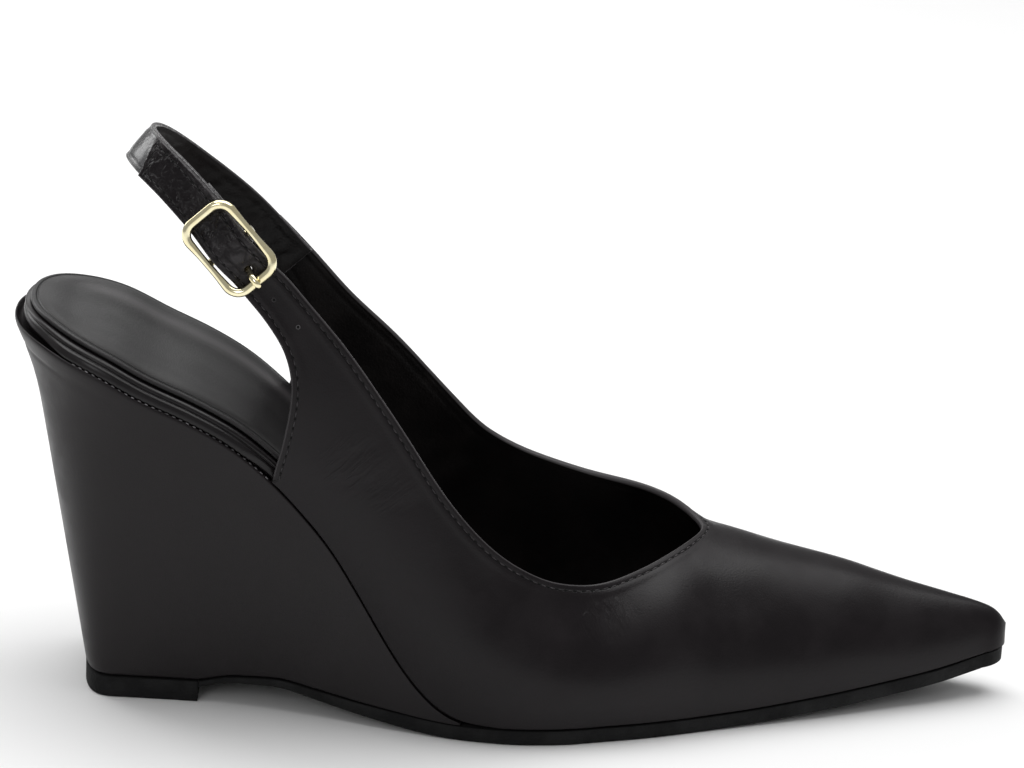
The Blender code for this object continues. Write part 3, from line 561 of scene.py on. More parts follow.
def thicken(
    obj: bpy.types.Object, wall: float, outer: float, rounding: float
) -> bpy.types.Object:
    """Gives a sheet its wall, with rounded edges and its second material inside.

    Args:
        obj: the open sheet.
        wall: thickness, millimetres.
        outer: share of the wall that lies outside the sheet.
        rounding: how far the edges bulge, millimetres.

    Returns:
        The same object.
    """
    mesh = obj.data
    co, no = coordinates(mesh), normals(mesh)
    loops = open_edges(mesh)
    faces = [tuple(p.vertices) for p in mesh.polygons]
    ways = {(f[i - 1], f[i]) for f in faces for i in range(len(f))}
    marks = {a.name: read_mark(mesh, a.name) for a in mesh.attributes if a.data_type == "FLOAT"}
    count, turns, rims = len(co), RIM_TURNS, []
    for loop in loops:
        if (loop[0], loop[1]) not in ways:
            loop.reverse()
        ring = co[loop]
        along = np.roll(ring, -1, axis=0) - np.roll(ring, 1, axis=0)
        away = np.cross(along, no[loop])
        away /= np.linalg.norm(away, axis=1)[:, None]
        away += np.roll(away, -1, axis=0) + np.roll(away, 1, axis=0)
        away /= np.linalg.norm(away, axis=1)[:, None]
        rims.append(away)
    for loop, away in zip(loops, rims, strict=True):
        co[loop] -= away * rounding * MM
    top = co + no * (wall * outer * MM)
    low = co - no * (wall * (1 - outer) * MM)
    points, walls = [top, low], list(faces)
    walls += [tuple(v + count for v in f[::-1]) for f in faces]
    total = 2 * count
    rim_marks = []
    for loop, away in zip(loops, rims, strict=True):
        middle = (top[loop] + low[loop]) / 2
        rows = [list(loop)]
        for k in range(1, turns + 1):
            angle = math.pi * k / (turns + 1)
            points.append(middle + no[loop] * (wall / 2 * math.cos(angle) * MM)
                          + away * (rounding * math.sin(angle) * MM))
            rows.append(list(range(total, total + len(loop))))
            total += len(loop)
            rim_marks += loop
        rows.append([v + count for v in loop])
        for upper_row, lower_row in zip(rows[:-1], rows[1:], strict=True):
            for i in range(len(loop)):
                k = (i + 1) % len(loop)
                walls.append((upper_row[k], upper_row[i], lower_row[i], lower_row[k]))
    solid = bpy.data.meshes.new(obj.name)
    solid.from_pydata(np.vstack(points).tolist(), [], walls)
    for material in mesh.materials:
        solid.materials.append(material)
    inner = np.zeros(len(walls), np.int32)
    inner[len(faces):2 * len(faces)] = len(mesh.materials) - 1
    solid.polygons.foreach_set("material_index", inner)
    for name, values in marks.items():
        set_mark(solid, name, np.concatenate([values, values, values[rim_marks]]))
    solid.shade_smooth()
    solid.validate()
    obj.data = solid
    bpy.data.meshes.remove(mesh)
    return obj


def coordinates(mesh: bpy.types.Mesh) -> np.ndarray:
    """Corner places as an array, metres."""
    co = np.empty(len(mesh.vertices) * 3)
    mesh.vertices.foreach_get("co", co)
    return co.reshape(-1, 3)


def normals(mesh: bpy.types.Mesh) -> np.ndarray:
    """Corner normals as an array, each evened out with those beside it."""
    vectors = np.empty(len(mesh.vertices) * 3)
    mesh.vertex_normals.foreach_get("vector", vectors)
    vectors = vectors.reshape(-1, 3)
    ends = np.empty(len(mesh.edges) * 2, np.int32)
    mesh.edges.foreach_get("vertices", ends)
    a, b = ends.reshape(-1, 2).T
    for share in (0.0, 1.0):
        total = vectors * share
        np.add.at(total, a, vectors[b])
        np.add.at(total, b, vectors[a])
        vectors = total / (np.linalg.norm(total, axis=1)[:, None] + 1e-12)
    return vectors


def read_mark(mesh: bpy.types.Mesh, name: str) -> np.ndarray:
    """Reads the number at each corner of a mesh."""
    values = np.empty(len(mesh.vertices), np.float32)
    mesh.attributes[name].data.foreach_get("value", values)
    return values


def set_mark(mesh: bpy.types.Mesh, name: str, values: np.ndarray) -> None:
    """Writes one number at each corner of a mesh."""
    layer = mesh.attributes.get(name) or mesh.attributes.new(name, "FLOAT", "POINT")
    layer.data.foreach_set("value", np.asarray(values, np.float32))


def open_edges(mesh: bpy.types.Mesh) -> list[list[int]]:
    """Corners of each open edge of a sheet, in order round it."""
    bm = bmesh.new()
    bm.from_mesh(mesh)
    beside: dict[int, list[int]] = {}
    for edge in bm.edges:
        if edge.is_boundary:
            a, b = (v.index for v in edge.verts)
            beside.setdefault(a, []).append(b)
            beside.setdefault(b, []).append(a)
    bm.free()
    loops = []
    while beside:
        loop: list[int] = []
        here: int | None = next(iter(beside))
        while here is not None:
            loop.append(here)
            here = next((v for v in beside.pop(here) if v in beside), None)
        loops.append(loop)
    return sorted(loops, key=len, reverse=True)


def move_corners(mesh: bpy.types.Mesh, co: np.ndarray) -> None:
    """Writes new corner places, metres."""
    mesh.vertices.foreach_set("co", co.ravel())
    mesh.update()


def surface_tree(mesh: bpy.types.Mesh) -> BVHTree:
    """Search tree of a mesh's faces."""
    bm = bmesh.new()
    bm.from_mesh(mesh)
    tree = BVHTree.FromBMesh(bm)
    bm.free()
    return tree


def point_tree(points: Sequence) -> KDTree:
    """Search tree of points."""
    tree = KDTree(len(points))
    for i, p in enumerate(points):
        tree.insert(p, i)
    tree.balance()
    return tree


def distances(points: np.ndarray, line: np.ndarray) -> np.ndarray:
    """Distance of each point from a line of points, metres."""
    fine = [line[0]]
    for a, b in zip(line[:-1], line[1:], strict=True):
        count = max(1, int(np.linalg.norm(b - a) / 0.00025))
        fine += [blend(a, b, k / count) for k in range(1, count + 1)]
    tree = point_tree(fine)
    return np.array([tree.find(p)[2] for p in points])


def loft(rings: np.ndarray, caps: tuple[bool, bool] = (False, False)) -> tuple[list, list]:
    """Points and faces of a skin through closed rings.

    Args:
        rings: rings of equal count, as one array.
        caps: whether the first and the last ring are closed by strips across them.

    Returns:
        Points, and faces as corner numbers.
    """
    total, count = rings.shape[:2]
    faces = []
    for j in range(total - 1):
        for i in range(count):
            k = (i + 1) % count
            faces.append((j * count + i, j * count + k, (j + 1) * count + k, (j + 1) * count + i))
    for wanted, base in zip(caps, (0, (total - 1) * count), strict=True):
        if wanted:
            for i in range((count - 1) // 2):
                far = count - 1 - i
                faces.append((base + i, base + i + 1, base + far - 1, base + far))
    return list(rings.reshape(-1, 3)), faces


def tube(centres: np.ndarray, up: np.ndarray, wide: np.ndarray, tall: np.ndarray, count: int,
         closed: bool) -> tuple[list, list]:
    """Points and faces of an oval tube along a line.

    Args:
        centres: points of the line.
        up: direction of the tall axis.
        wide: half width at each point.
        tall: half height at each point.
        count: corners round the tube.
        closed: whether the line joins up.

    Returns:
        Points, and faces as corner numbers.
    """
    ahead = np.roll(centres, -1, axis=0)
    behind = np.roll(centres, 1, axis=0)
    if not closed:
        ahead[-1], behind[0] = centres[-1], centres[0]
    along = ahead - behind
    along /= np.linalg.norm(along, axis=1)[:, None]
    side = np.cross(along, up)
    side /= np.linalg.norm(side, axis=1)[:, None]
    top = np.cross(side, along)
    turn = 2 * np.pi * np.arange(count) / count
    rings = (
        centres[:, None]
        + side[:, None] * (wide[:, None] * np.cos(turn))[:, :, None]
        + top[:, None] * (tall[:, None] * np.sin(turn))[:, :, None]
    )
    if closed:
        return loft(np.concatenate([rings, rings[:1]]))
    points, faces = loft(rings)
    faces.append(tuple(range(count)))
    faces.append(tuple(range(len(points) - count, len(points)))[::-1])
    return points, faces


def smooth_line(knots: np.ndarray, steps: int) -> np.ndarray:
    """A smooth line through knots, with steps between each two."""
    padded = np.vstack([knots[0] * 2 - knots[1], knots, knots[-1] * 2 - knots[-2]])
    out = []
    for i in range(len(knots) - 1):
        a, b, c, d = padded[i : i + 4]
        t = (np.arange(steps) / steps)[:, None]
        out.append(0.5 * (
            2 * b + (c - a) * t + (2 * a - 5 * b + 4 * c - d) * t**2 + (3 * b - a - 3 * c + d) * t**3
        ))
    return np.vstack([*out, knots[-1]])


def inset_side(x: np.ndarray, y: np.ndarray, inset: np.ndarray | float, side: Side) -> np.ndarray:
    """Moves one side of a plan inwards, at right angles to its edge.

    Args:
        x: places along.
        y: places across.
        inset: distance inwards.
        side: the side of the shoe.

    Returns:
        The moved points, as rows of x and y.
    """
    points = np.stack([x, y], axis=1)
    along = np.empty_like(points)
    along[1:-1] = points[2:] - points[:-2]
    along[0], along[-1] = points[1] - points[0], points[-1] - points[-2]
    if abs(y[0]) < 1e-6:
        along[0] = (0.0, side.value)
    if abs(y[-1] - TOE_MIDDLE) < 1e-6:
        along[-1] = (0.0, -side.value)
    along /= np.linalg.norm(along, axis=1)[:, None]
    inward = np.stack([-along[:, 1], along[:, 0]], axis=1) * -side.value
    return points + inward * np.broadcast_to(inset, x.shape)[:, None]


Placing = Callable[[np.ndarray], tuple[np.ndarray, np.ndarray]]


def sided_solid(
    places: np.ndarray,
    half: Callable[[np.ndarray, Side], np.ndarray],
    profile: Sequence[tuple[float, Placing]],
    across: int = 0,
    crown: Callable[[np.ndarray, float], np.ndarray] | None = None,
    capped: bool = False,
) -> tuple[list, list]:
    """Points and faces of a sole-like layer, ring by ring along the shoe.

    Args:
        places: places along.
        half: signed half width at a place, for a side.
        profile: the edge's profile from below, as insets and their placings.
        across: points between the two sides of the top.
        crown: extra height of the top at a place and a share across.
        capped: whether the first ring is closed by a face.

    Returns:
        Points, and faces as corner numbers.
    """
    edges: dict[Side, list[np.ndarray]] = {Side.OUTER: [], Side.INNER: []}
    fade = ease((LENGTH - places) / 16.0)
    for side, rows in edges.items():
        y = half(places, side)
        first = profile[0][0]
        first = first(places) if callable(first) else first
        for inset, placing in profile:
            inset = inset(places) if callable(inset) else inset
            limited = first + (inset - first) * np.where(places > TOE_REGION, fade, 1.0)
            plan = inset_side(places, y, limited, side)
            x, z = placing(plan[:, 0])
            rows.append(np.stack([x, plan[:, 1], z], axis=1))
    outer, inner = edges[Side.OUTER], edges[Side.INNER]
    columns = list(outer)
    for k in range(1, across + 1):
        share = k / (across + 1)
        row = blend(outer[-1], inner[-1], share)
        if crown:
            row = row + np.stack([0 * places, 0 * places, crown(places, share)], axis=1)
        columns.append(row)
    columns += inner[::-1]
    rings = np.stack(columns, axis=1)
    points, faces = loft(rings)
    count = rings.shape[1]
    if capped:
        faces.append(tuple(range(count)))
    return points, faces


# Shaders


class Graph:
    """A node tree being wired."""

    def __init__(self, tree: bpy.types.NodeTree) -> None:
        """Takes the tree to wire."""
        self.tree = tree

    def node(self, kind: str, inputs: dict | None = None, **settings: object) -> bpy.types.Node:
        """Adds a node.

        Args:
            kind: its type.
            inputs: values or sockets by input name or number.
            settings: its own settings.

        Returns:
            The node.
        """
        made = self.tree.nodes.new(kind)
        for key, value in settings.items():
            setattr(made, key, value)
        for key, value in (inputs or {}).items():
            self.feed(made.inputs[key], value)
        return made

    def feed(self, socket: bpy.types.NodeSocket, value: object) -> None:
        """Links a socket to another, or sets its value."""
        if isinstance(value, bpy.types.NodeSocket):
            self.tree.links.new(value, socket)
        else:
            socket.default_value = value

    def math(self, kind: str, a: object, b: object = 0.0,
             clamp: bool = False) -> bpy.types.NodeSocket:
        """Result of a sum on two numbers."""
        made = self.node("ShaderNodeMath", {0: a, 1: b}, operation=kind)
        made.use_clamp = clamp
        return made.outputs[0]

    def times(self, *values: object) -> bpy.types.NodeSocket:
        """Product of numbers."""
        total = values[0]
        for value in values[1:]:
            total = self.math("MULTIPLY", total, value)
        return total

    def plus(self, a: object, b: object, clamp: bool = False) -> bpy.types.NodeSocket:
        """Sum of two numbers."""
        return self.math("ADD", a, b, clamp)

    def group(self, tree: bpy.types.NodeTree, **inputs: object) -> bpy.types.Node:
        """Adds a shader group."""
        return self.node("ShaderNodeGroup", inputs, node_tree=tree)

    def mark(self, name: str) -> bpy.types.NodeSocket:
        """The number that a mesh carries at each corner."""
        return self.node("ShaderNodeAttribute", attribute_name=name).outputs["Fac"]

    def noise(self, vector: object, scale: object, detail: float,
              **more: float) -> bpy.types.NodeSocket:
        """Soft noise from 0 to 1."""
        inputs = {"Vector": vector, "Scale": scale, "Detail": detail, **more}
        return self.node("ShaderNodeTexNoise", inputs).outputs["Fac"]

    def dress(self, shader: bpy.types.Node, height: object, depth: float, inputs: dict,
              strength: float = 1.0) -> None:
        """Feeds a shader, with a bump whose full height is a depth in metres."""
        bump = self.node("ShaderNodeBump", {"Strength": strength, "Distance": depth,
                                            "Height": height})
        for key, value in {**inputs, "Normal": bump.outputs["Normal"]}.items():
            self.feed(shader.inputs[key], value)

    def ramp(self, value: object, low: float, high: float, start: float = 0.0,
             end: float = 1.0) -> bpy.types.NodeSocket:
        """Maps a number smoothly from one range to another."""
        inputs = {"Value": value, "From Min": low, "From Max": high, "To Min": start, "To Max": end}
        return self.node(
            "ShaderNodeMapRange", inputs, interpolation_type="SMOOTHSTEP"
        ).outputs["Result"]

    def mix(self, share: object, a: object, b: object) -> bpy.types.NodeSocket:
        """Mix of two colours."""
        made = self.node("ShaderNodeMix", data_type="RGBA")
        self.feed(made.inputs[0], share)
        self.feed(made.inputs[6], a)
        self.feed(made.inputs[7], b)
        return made.outputs[2]


def shader_group(name: str, inputs: dict[str, float], outputs: Sequence[str]) -> tuple[
        bpy.types.NodeTree, Graph, bpy.types.Node, bpy.types.Node]:
    """Starts a shader group with a vector input and named numbers."""
    tree = bpy.data.node_groups.new(name, "ShaderNodeTree")
    tree.interface.new_socket(name="Vector", in_out="INPUT", socket_type="NodeSocketVector")
    for key, value in inputs.items():
        socket = tree.interface.new_socket(name=key, in_out="INPUT", socket_type="NodeSocketFloat")
        socket.default_value = value
    for key in outputs:
        tree.interface.new_socket(name=key, in_out="OUTPUT", socket_type="NodeSocketFloat")
    graph = Graph(tree)
    return tree, graph, tree.nodes.new("NodeGroupInput"), tree.nodes.new("NodeGroupOutput")


class Effects:
    """Shader groups that more than one finish uses."""

    def __init__(self) -> None:
        """Builds each group once."""
        self.grain = self.build_grain()
        self.crinkle = self.build_crinkle()
        self.rub = self.build_rub()
        self.groove = self.build_groove()
        self.creases = self.build_creases()

    @staticmethod
    def build_grain() -> bpy.types.NodeTree:
        """Fine pores, hair cells and a slow swell of smooth calf leather."""
        tree, g, come, go = shader_group(
            "calf_grain", {"Pores": 2600.0, "Swell": 90.0}, ["Height", "Mottle"])
        vector, scale = come.outputs["Vector"], come.outputs["Pores"]
        pores = g.node("ShaderNodeTexVoronoi", {"Vector": vector, "Scale": scale},
                       feature="SMOOTH_F1")
        fine = g.noise(vector, g.times(scale, 0.45), 3.0, Roughness=0.6)
        swell = g.noise(vector, come.outputs["Swell"], 4.0, Roughness=0.55)
        cells = g.times(g.ramp(pores.outputs["Distance"], 0.05, 0.6), 0.45)
        g.feed(go.inputs["Height"], g.plus(cells, g.times(fine, 0.55)))
        g.feed(go.inputs["Mottle"], g.ramp(swell, 0.35, 0.68))
        return tree

    @staticmethod
    def build_crinkle() -> bpy.types.NodeTree:
        """Sharp little folds of glazed leather, with the flats between them."""
        tree, g, come, go = shader_group("glazed_crinkle", {"Folds": 300.0}, ["Height", "Flats"])
        vector = come.outputs["Vector"]
        warp = g.node("ShaderNodeTexNoise", {"Vector": vector, "Scale": 260.0, "Detail": 3.0})
        pushed = g.node("ShaderNodeVectorMath", {0: warp.outputs["Color"], 1: (0.5, 0.5, 0.5)},
                        operation="SUBTRACT")
        scaled = g.node("ShaderNodeVectorMath", {0: pushed.outputs[0], "Scale": 0.0042},
                        operation="SCALE")
        bent = g.node("ShaderNodeVectorMath", {0: vector, 1: scaled.outputs[0]}, operation="ADD")
        folds = come.outputs["Folds"]
        large, small = (
            g.node("ShaderNodeTexVoronoi", {"Vector": bent.outputs[0], "Scale": scale},
                   feature="DISTANCE_TO_EDGE").outputs["Distance"]
            for scale in (folds, g.times(folds, 2.7)))
        flats = g.ramp(large, 0.0, 0.30)
        g.feed(go.inputs["Height"], g.plus(flats, g.times(g.ramp(small, 0.0, 0.35), 0.22)))
        g.feed(go.inputs["Flats"], flats)
        return tree

    @staticmethod
    def build_rub() -> bpy.types.NodeTree:
        """Short faint rub marks and dull patches from handling."""
        tree, g, come, go = shader_group("handling_rub", {"Size": 38.0}, ["Mask", "Marks"])
        vector = come.outputs["Vector"]
        patch = g.noise(vector, come.outputs["Size"], 3.0, Distortion=0.6)
        stretch = g.node("ShaderNodeMapping", {"Vector": vector, "Rotation": (0.3, 0.5, 0.7),
                                               "Scale": (90.0, 900.0, 420.0)})
        mask = g.ramp(patch, 0.52, 0.74)
        marks = g.ramp(g.noise(stretch.outputs[0], 1.0, 2.0), 0.66, 0.74)
        g.feed(go.inputs["Mask"], mask)
        g.feed(go.inputs["Marks"], g.times(marks, mask))
        return tree

    @staticmethod
    def build_groove() -> bpy.types.NodeTree:
        """A pressed line at a set distance from a piece's edge, with a raised rim beside it; the
        finishes darken the line as painted shade and lighten the band beside it as a painted highlight.
        """
        tree, g, come, go = shader_group(
            "pressed_line", {"Distance": 10.0, "At": 1.3, "Width": 0.4},
            ["Height", "Mask", "Ridge"])
        distance, at = come.outputs["Distance"], come.outputs["At"]
        off = g.math("ABSOLUTE", g.math("SUBTRACT", distance, at))
        line = g.ramp(g.math("DIVIDE", off, come.outputs["Width"]), 0.0, 1.0, 1.0, 0.0)
        rim = g.times(g.ramp(g.math("DIVIDE", distance, at), 0.1, 1.9, 1.0, 0.0), 0.3)
        beside = g.math("SUBTRACT", distance, g.plus(at, 0.55))
        g.feed(go.inputs["Height"], g.math("SUBTRACT", rim, line))
        g.feed(go.inputs["Mask"], line)
        # Ridge: a band beside the line, which the finishes lighten as a painted highlight
        g.feed(go.inputs["Ridge"], g.ramp(g.math("ABSOLUTE", beside), 0.0, 0.28, 1.0, 0.0))
        return tree

    @staticmethod
    def build_creases() -> bpy.types.NodeTree:
        """Fine wrinkles round one place, all in one direction."""
        tree, g, come, go = shader_group("fine_creases", {"Reach": 0.008, "Turn": 0.8}, ["Height"])
        tree.interface.new_socket(name="Centre", in_out="INPUT", socket_type="NodeSocketVector")
        vector, centre = come.outputs["Vector"], come.outputs["Centre"]
        apart = g.node("ShaderNodeVectorMath", {0: vector, 1: centre}, operation="DISTANCE")
        share = g.math("DIVIDE", apart.outputs["Value"], come.outputs["Reach"])
        turned = g.node("ShaderNodeVectorRotate", {
            "Vector": vector, "Center": centre, "Angle": come.outputs["Turn"]},
            rotation_type="Y_AXIS")
        drawn = g.node("ShaderNodeMapping", {"Vector": turned.outputs[0],
                                             "Scale": (150.0, 150.0, 900.0)})
        soft = g.ramp(g.noise(drawn.outputs[0], 1.0, 2.0, Distortion=0.9), 0.34, 0.66)
        g.feed(go.inputs["Height"], g.times(soft, g.ramp(share, 0.25, 1.0, 1.0, 0.0)))
        return tree


def solid(colour: Sequence[float], share: float = 1.0) -> tuple[float, ...]:
    """A colour, made darker or lighter, with its full cover."""
    return (*(share * c for c in colour), 1.0)


def new_material(name: str) -> tuple[bpy.types.Material, Graph, bpy.types.Node,
                                    bpy.types.NodeSocket]:
    """Starts a material, and gives its graph, its shader and the object's coordinates."""
    material = bpy.data.materials.new(name)
    material.use_nodes = True
    g = Graph(material.node_tree)
    shader = material.node_tree.nodes["Principled BSDF"]
    return material, g, shader, g.node("ShaderNodeTexCoord").outputs["Object"]


@dataclass(frozen=True)
class LeatherFinish:
    """Smooth or glazed leather, with an edge line where the piece is stitched; a lighter cut edge, band
    beside the line, crinkle flats and sheen band are painted highlights, and a darkened line is painted
    shade.
    """

    name: str
    colour: tuple[float, float, float] = (0.0060, 0.0048, 0.0054)
    # Tone of the random rub patches: wear on most pieces, and a painted sheen on the strap
    rub_and_sheen_tone: tuple[float, float, float] = (0.0100, 0.0080, 0.0088)
    roughness: tuple[float, float] = (0.34, 0.48)
    specular: float = 0.22
    coat: float = 0.05
    coat_roughness: float = 0.25
    pores: float = 2600.0
    grain: float = 0.10
    crinkle: float = 0.0
    line_at: float = 0.0
    line_width: float = 0.40
    line_depth: float = 0.35
    # Light colour of the painted highlights: cut edge, band beside the pressed line, crinkle flats and
    # sheen band
    rim: tuple[float, float, float] = (0.050, 0.046, 0.048)
    # Strength of the painted highlight along the band beside the pressed line
    ridge: float = 0.0
    # How far the crinkle flats are lightened towards the rim colour, as a painted sheen
    crinkle_flat_sheen: float = 0.0
    # Strength of a painted sheen: how far the marked band is lightened towards the rim colour
    sheen: float = 0.0
    patches: tuple[tuple[tuple[float, float, float], float, float, float], ...] = ()

    def build(self, effects: Effects) -> bpy.types.Material:
        """Wires the finish."""
        material, g, shader, place = new_material(self.name)
        grain = g.group(effects.grain, Vector=place, Pores=self.pores)
        rub = g.group(effects.rub, Vector=place)
        mottle = grain.outputs["Mottle"]
        # Random patches towards the rub tone: real wear, and on the strap a painted sheen
        share = g.plus(g.times(mottle, 0.55), g.times(rub.outputs["Mask"], 0.45), clamp=True)
        colour = g.mix(share, solid(self.colour), solid(self.rub_and_sheen_tone))
        rough = g.ramp(g.plus(mottle, g.times(rub.outputs["Marks"], 0.5)),
                       0.0, 1.3, *self.roughness)
        height = g.times(grain.outputs["Height"], self.grain)
        if self.crinkle:
            crinkle = g.group(effects.crinkle, Vector=place)
            glaze_and_sheen = g.mark("glaze_and_sheen")
            amount = g.times(glaze_and_sheen, self.crinkle)
            height = g.plus(height, g.times(crinkle.outputs["Height"], amount))
            shine = g.times(crinkle.outputs["Flats"], glaze_and_sheen, 0.45)
            rough = g.times(rough, g.math("SUBTRACT", 1.0, shine))
            # Painted sheen: the flats between the crinkles are lightened towards the rim colour
            colour = g.mix(g.times(shine, mottle, self.crinkle_flat_sheen), colour, solid(self.rim))
        # Painted sheen: the marked band is lightened towards the rim colour
        if self.sheen:
            colour = g.mix(g.times(g.mark("glaze_and_sheen"), self.sheen), colour, solid(self.rim))
        if self.line_at:
            distance = g.mark("edge_mm")
            line = g.group(effects.groove, Distance=distance, At=self.line_at,
                           Width=self.line_width)
            # Painted highlight: the cut edge and the band beside the pressed line are lightened towards
            # the rim colour
            edge = g.times(g.ramp(distance, 0.02, 0.42, 1.0, 0.0), 0.8)
            light = g.plus(edge, g.times(line.outputs["Ridge"], self.ridge), clamp=True)
            colour = g.mix(light, colour, solid(self.rim))
            # Painted shade: the pressed line is darkened to a fifth of the base colour
            colour = g.mix(g.times(line.outputs["Mask"], 0.75), colour, solid(self.colour, 0.2))
            height = g.plus(height, g.times(line.outputs["Height"], self.line_depth))
        for spot, reach, turn, depth in self.patches:
            crease = g.group(effects.creases, Vector=place, Centre=tuple(metres(spot)),
                             Reach=reach * MM, Turn=math.radians(turn))
            height = g.plus(height, g.times(crease.outputs["Height"], depth))
        g.dress(shader, height, 0.00035, {
            "Base Color": colour, "Roughness": rough, "Specular IOR Level": self.specular,
            "Coat Weight": self.coat, "Coat Roughness": self.coat_roughness})
        return material


@dataclass(frozen=True)
class RubberFinish:
    """Matt moulded rubber with a fine stipple."""

    name: str
    ribs: float
    stipple: float = 0.5
    colour: tuple[float, float, float] = (0.0055, 0.0055, 0.0058)
    roughness: float = 0.72

    def build(self, effects: Effects) -> bpy.types.Material:
        """Wires the finish, whose ribs show underneath alone."""
        material, g, shader, place = new_material(self.name)
        grain = g.group(effects.grain, Vector=place, Pores=1500.0)
        dust = g.times(g.group(effects.rub, Vector=place).outputs["Mask"], 0.6)
        rough = g.ramp(grain.outputs["Mottle"], 0.0, 1.0, self.roughness - 0.1,
                       self.roughness + 0.12)
        down = g.node("ShaderNodeNewGeometry").outputs["Normal"]
        facing = g.node("ShaderNodeSeparateXYZ", {0: down}).outputs["Z"]
        wave = g.node("ShaderNodeTexWave", {"Vector": place, "Scale": self.ribs,
                                            "Distortion": 0.0}, bands_direction="DIAGONAL")
        rib = g.times(g.ramp(wave.outputs["Fac"], 0.3, 0.7), g.ramp(facing, -0.95, -0.8, 1.0, 0.0))
        height = g.plus(g.times(grain.outputs["Height"], self.stipple), g.times(rib, 1.6))
        g.dress(shader, height, 0.0002, {
            "Base Color": g.mix(dust, solid(self.colour), solid(self.colour, 2.6)),
            "Roughness": rough, "Specular IOR Level": 0.22})
        return material


@dataclass(frozen=True)
class MetalFinish:
    """Polished plate with fine wipe marks."""

    name: str
    colour: tuple[float, float, float] = (1.0, 0.93, 0.64)
    shade: tuple[float, float, float] = (0.96, 0.86, 0.54)
    roughness: tuple[float, float] = (0.12, 0.22)

    def build(self, effects: Effects) -> bpy.types.Material:
        """Wires the finish."""
        material, g, shader, place = new_material(self.name)
        rub = g.group(effects.rub, Vector=place, Size=160.0)
        grain = g.group(effects.grain, Vector=place, Swell=420.0)
        height = g.plus(g.times(rub.outputs["Marks"], 0.5), g.times(grain.outputs["Height"], 0.08))
        g.dress(shader, height, 0.00006, {
            "Base Color": g.mix(grain.outputs["Mottle"], solid(self.colour), solid(self.shade)),
            "Roughness": g.ramp(rub.outputs["Mask"], 0.0, 1.0, *self.roughness),
            "Metallic": 1.0}, strength=0.6)
        return material


@dataclass(frozen=True)
class ThreadFinish:
    """Waxed thread, or the painted shade of a needle hole."""

    name: str
    colour: tuple[float, float, float]
    roughness: float
    # How much lighter the mottled specks are: painted glints on the dark thread
    lighter: float = 2.5

    def build(self, effects: Effects) -> bpy.types.Material:
        """Wires the finish."""
        material, g, shader, place = new_material(self.name)
        grain = g.group(effects.grain, Vector=place, Pores=5200.0)
        height = grain.outputs["Height"]
        g.dress(shader, height, 0.00008, {
            "Base Color": g.mix(grain.outputs["Mottle"], solid(self.colour),
                                solid(self.colour, self.lighter)),
            "Roughness": g.ramp(height, 0.0, 1.0, self.roughness - 0.1, self.roughness + 0.1),
            "Specular IOR Level": 0.3}, strength=0.5)
        return material


@dataclass(frozen=True)
class FloorFinish:
    """Plain pale studio paper."""

    name: str = "studio_paper"
    colour: tuple[float, float, float] = (0.86, 0.86, 0.86)

    def build(self, effects: Effects) -> bpy.types.Material:
        """Wires the finish."""
        material, g, shader, place = new_material(self.name)
        mottle = g.group(effects.grain, Vector=place, Swell=4.0).outputs["Mottle"]
        g.feed(shader.inputs["Base Color"],
               g.mix(mottle, solid(self.colour), solid(self.colour, 1.02)))
        shader.inputs["Roughness"].default_value = 0.9
        shader.inputs["Specular IOR Level"].default_value = 0.1
        return material


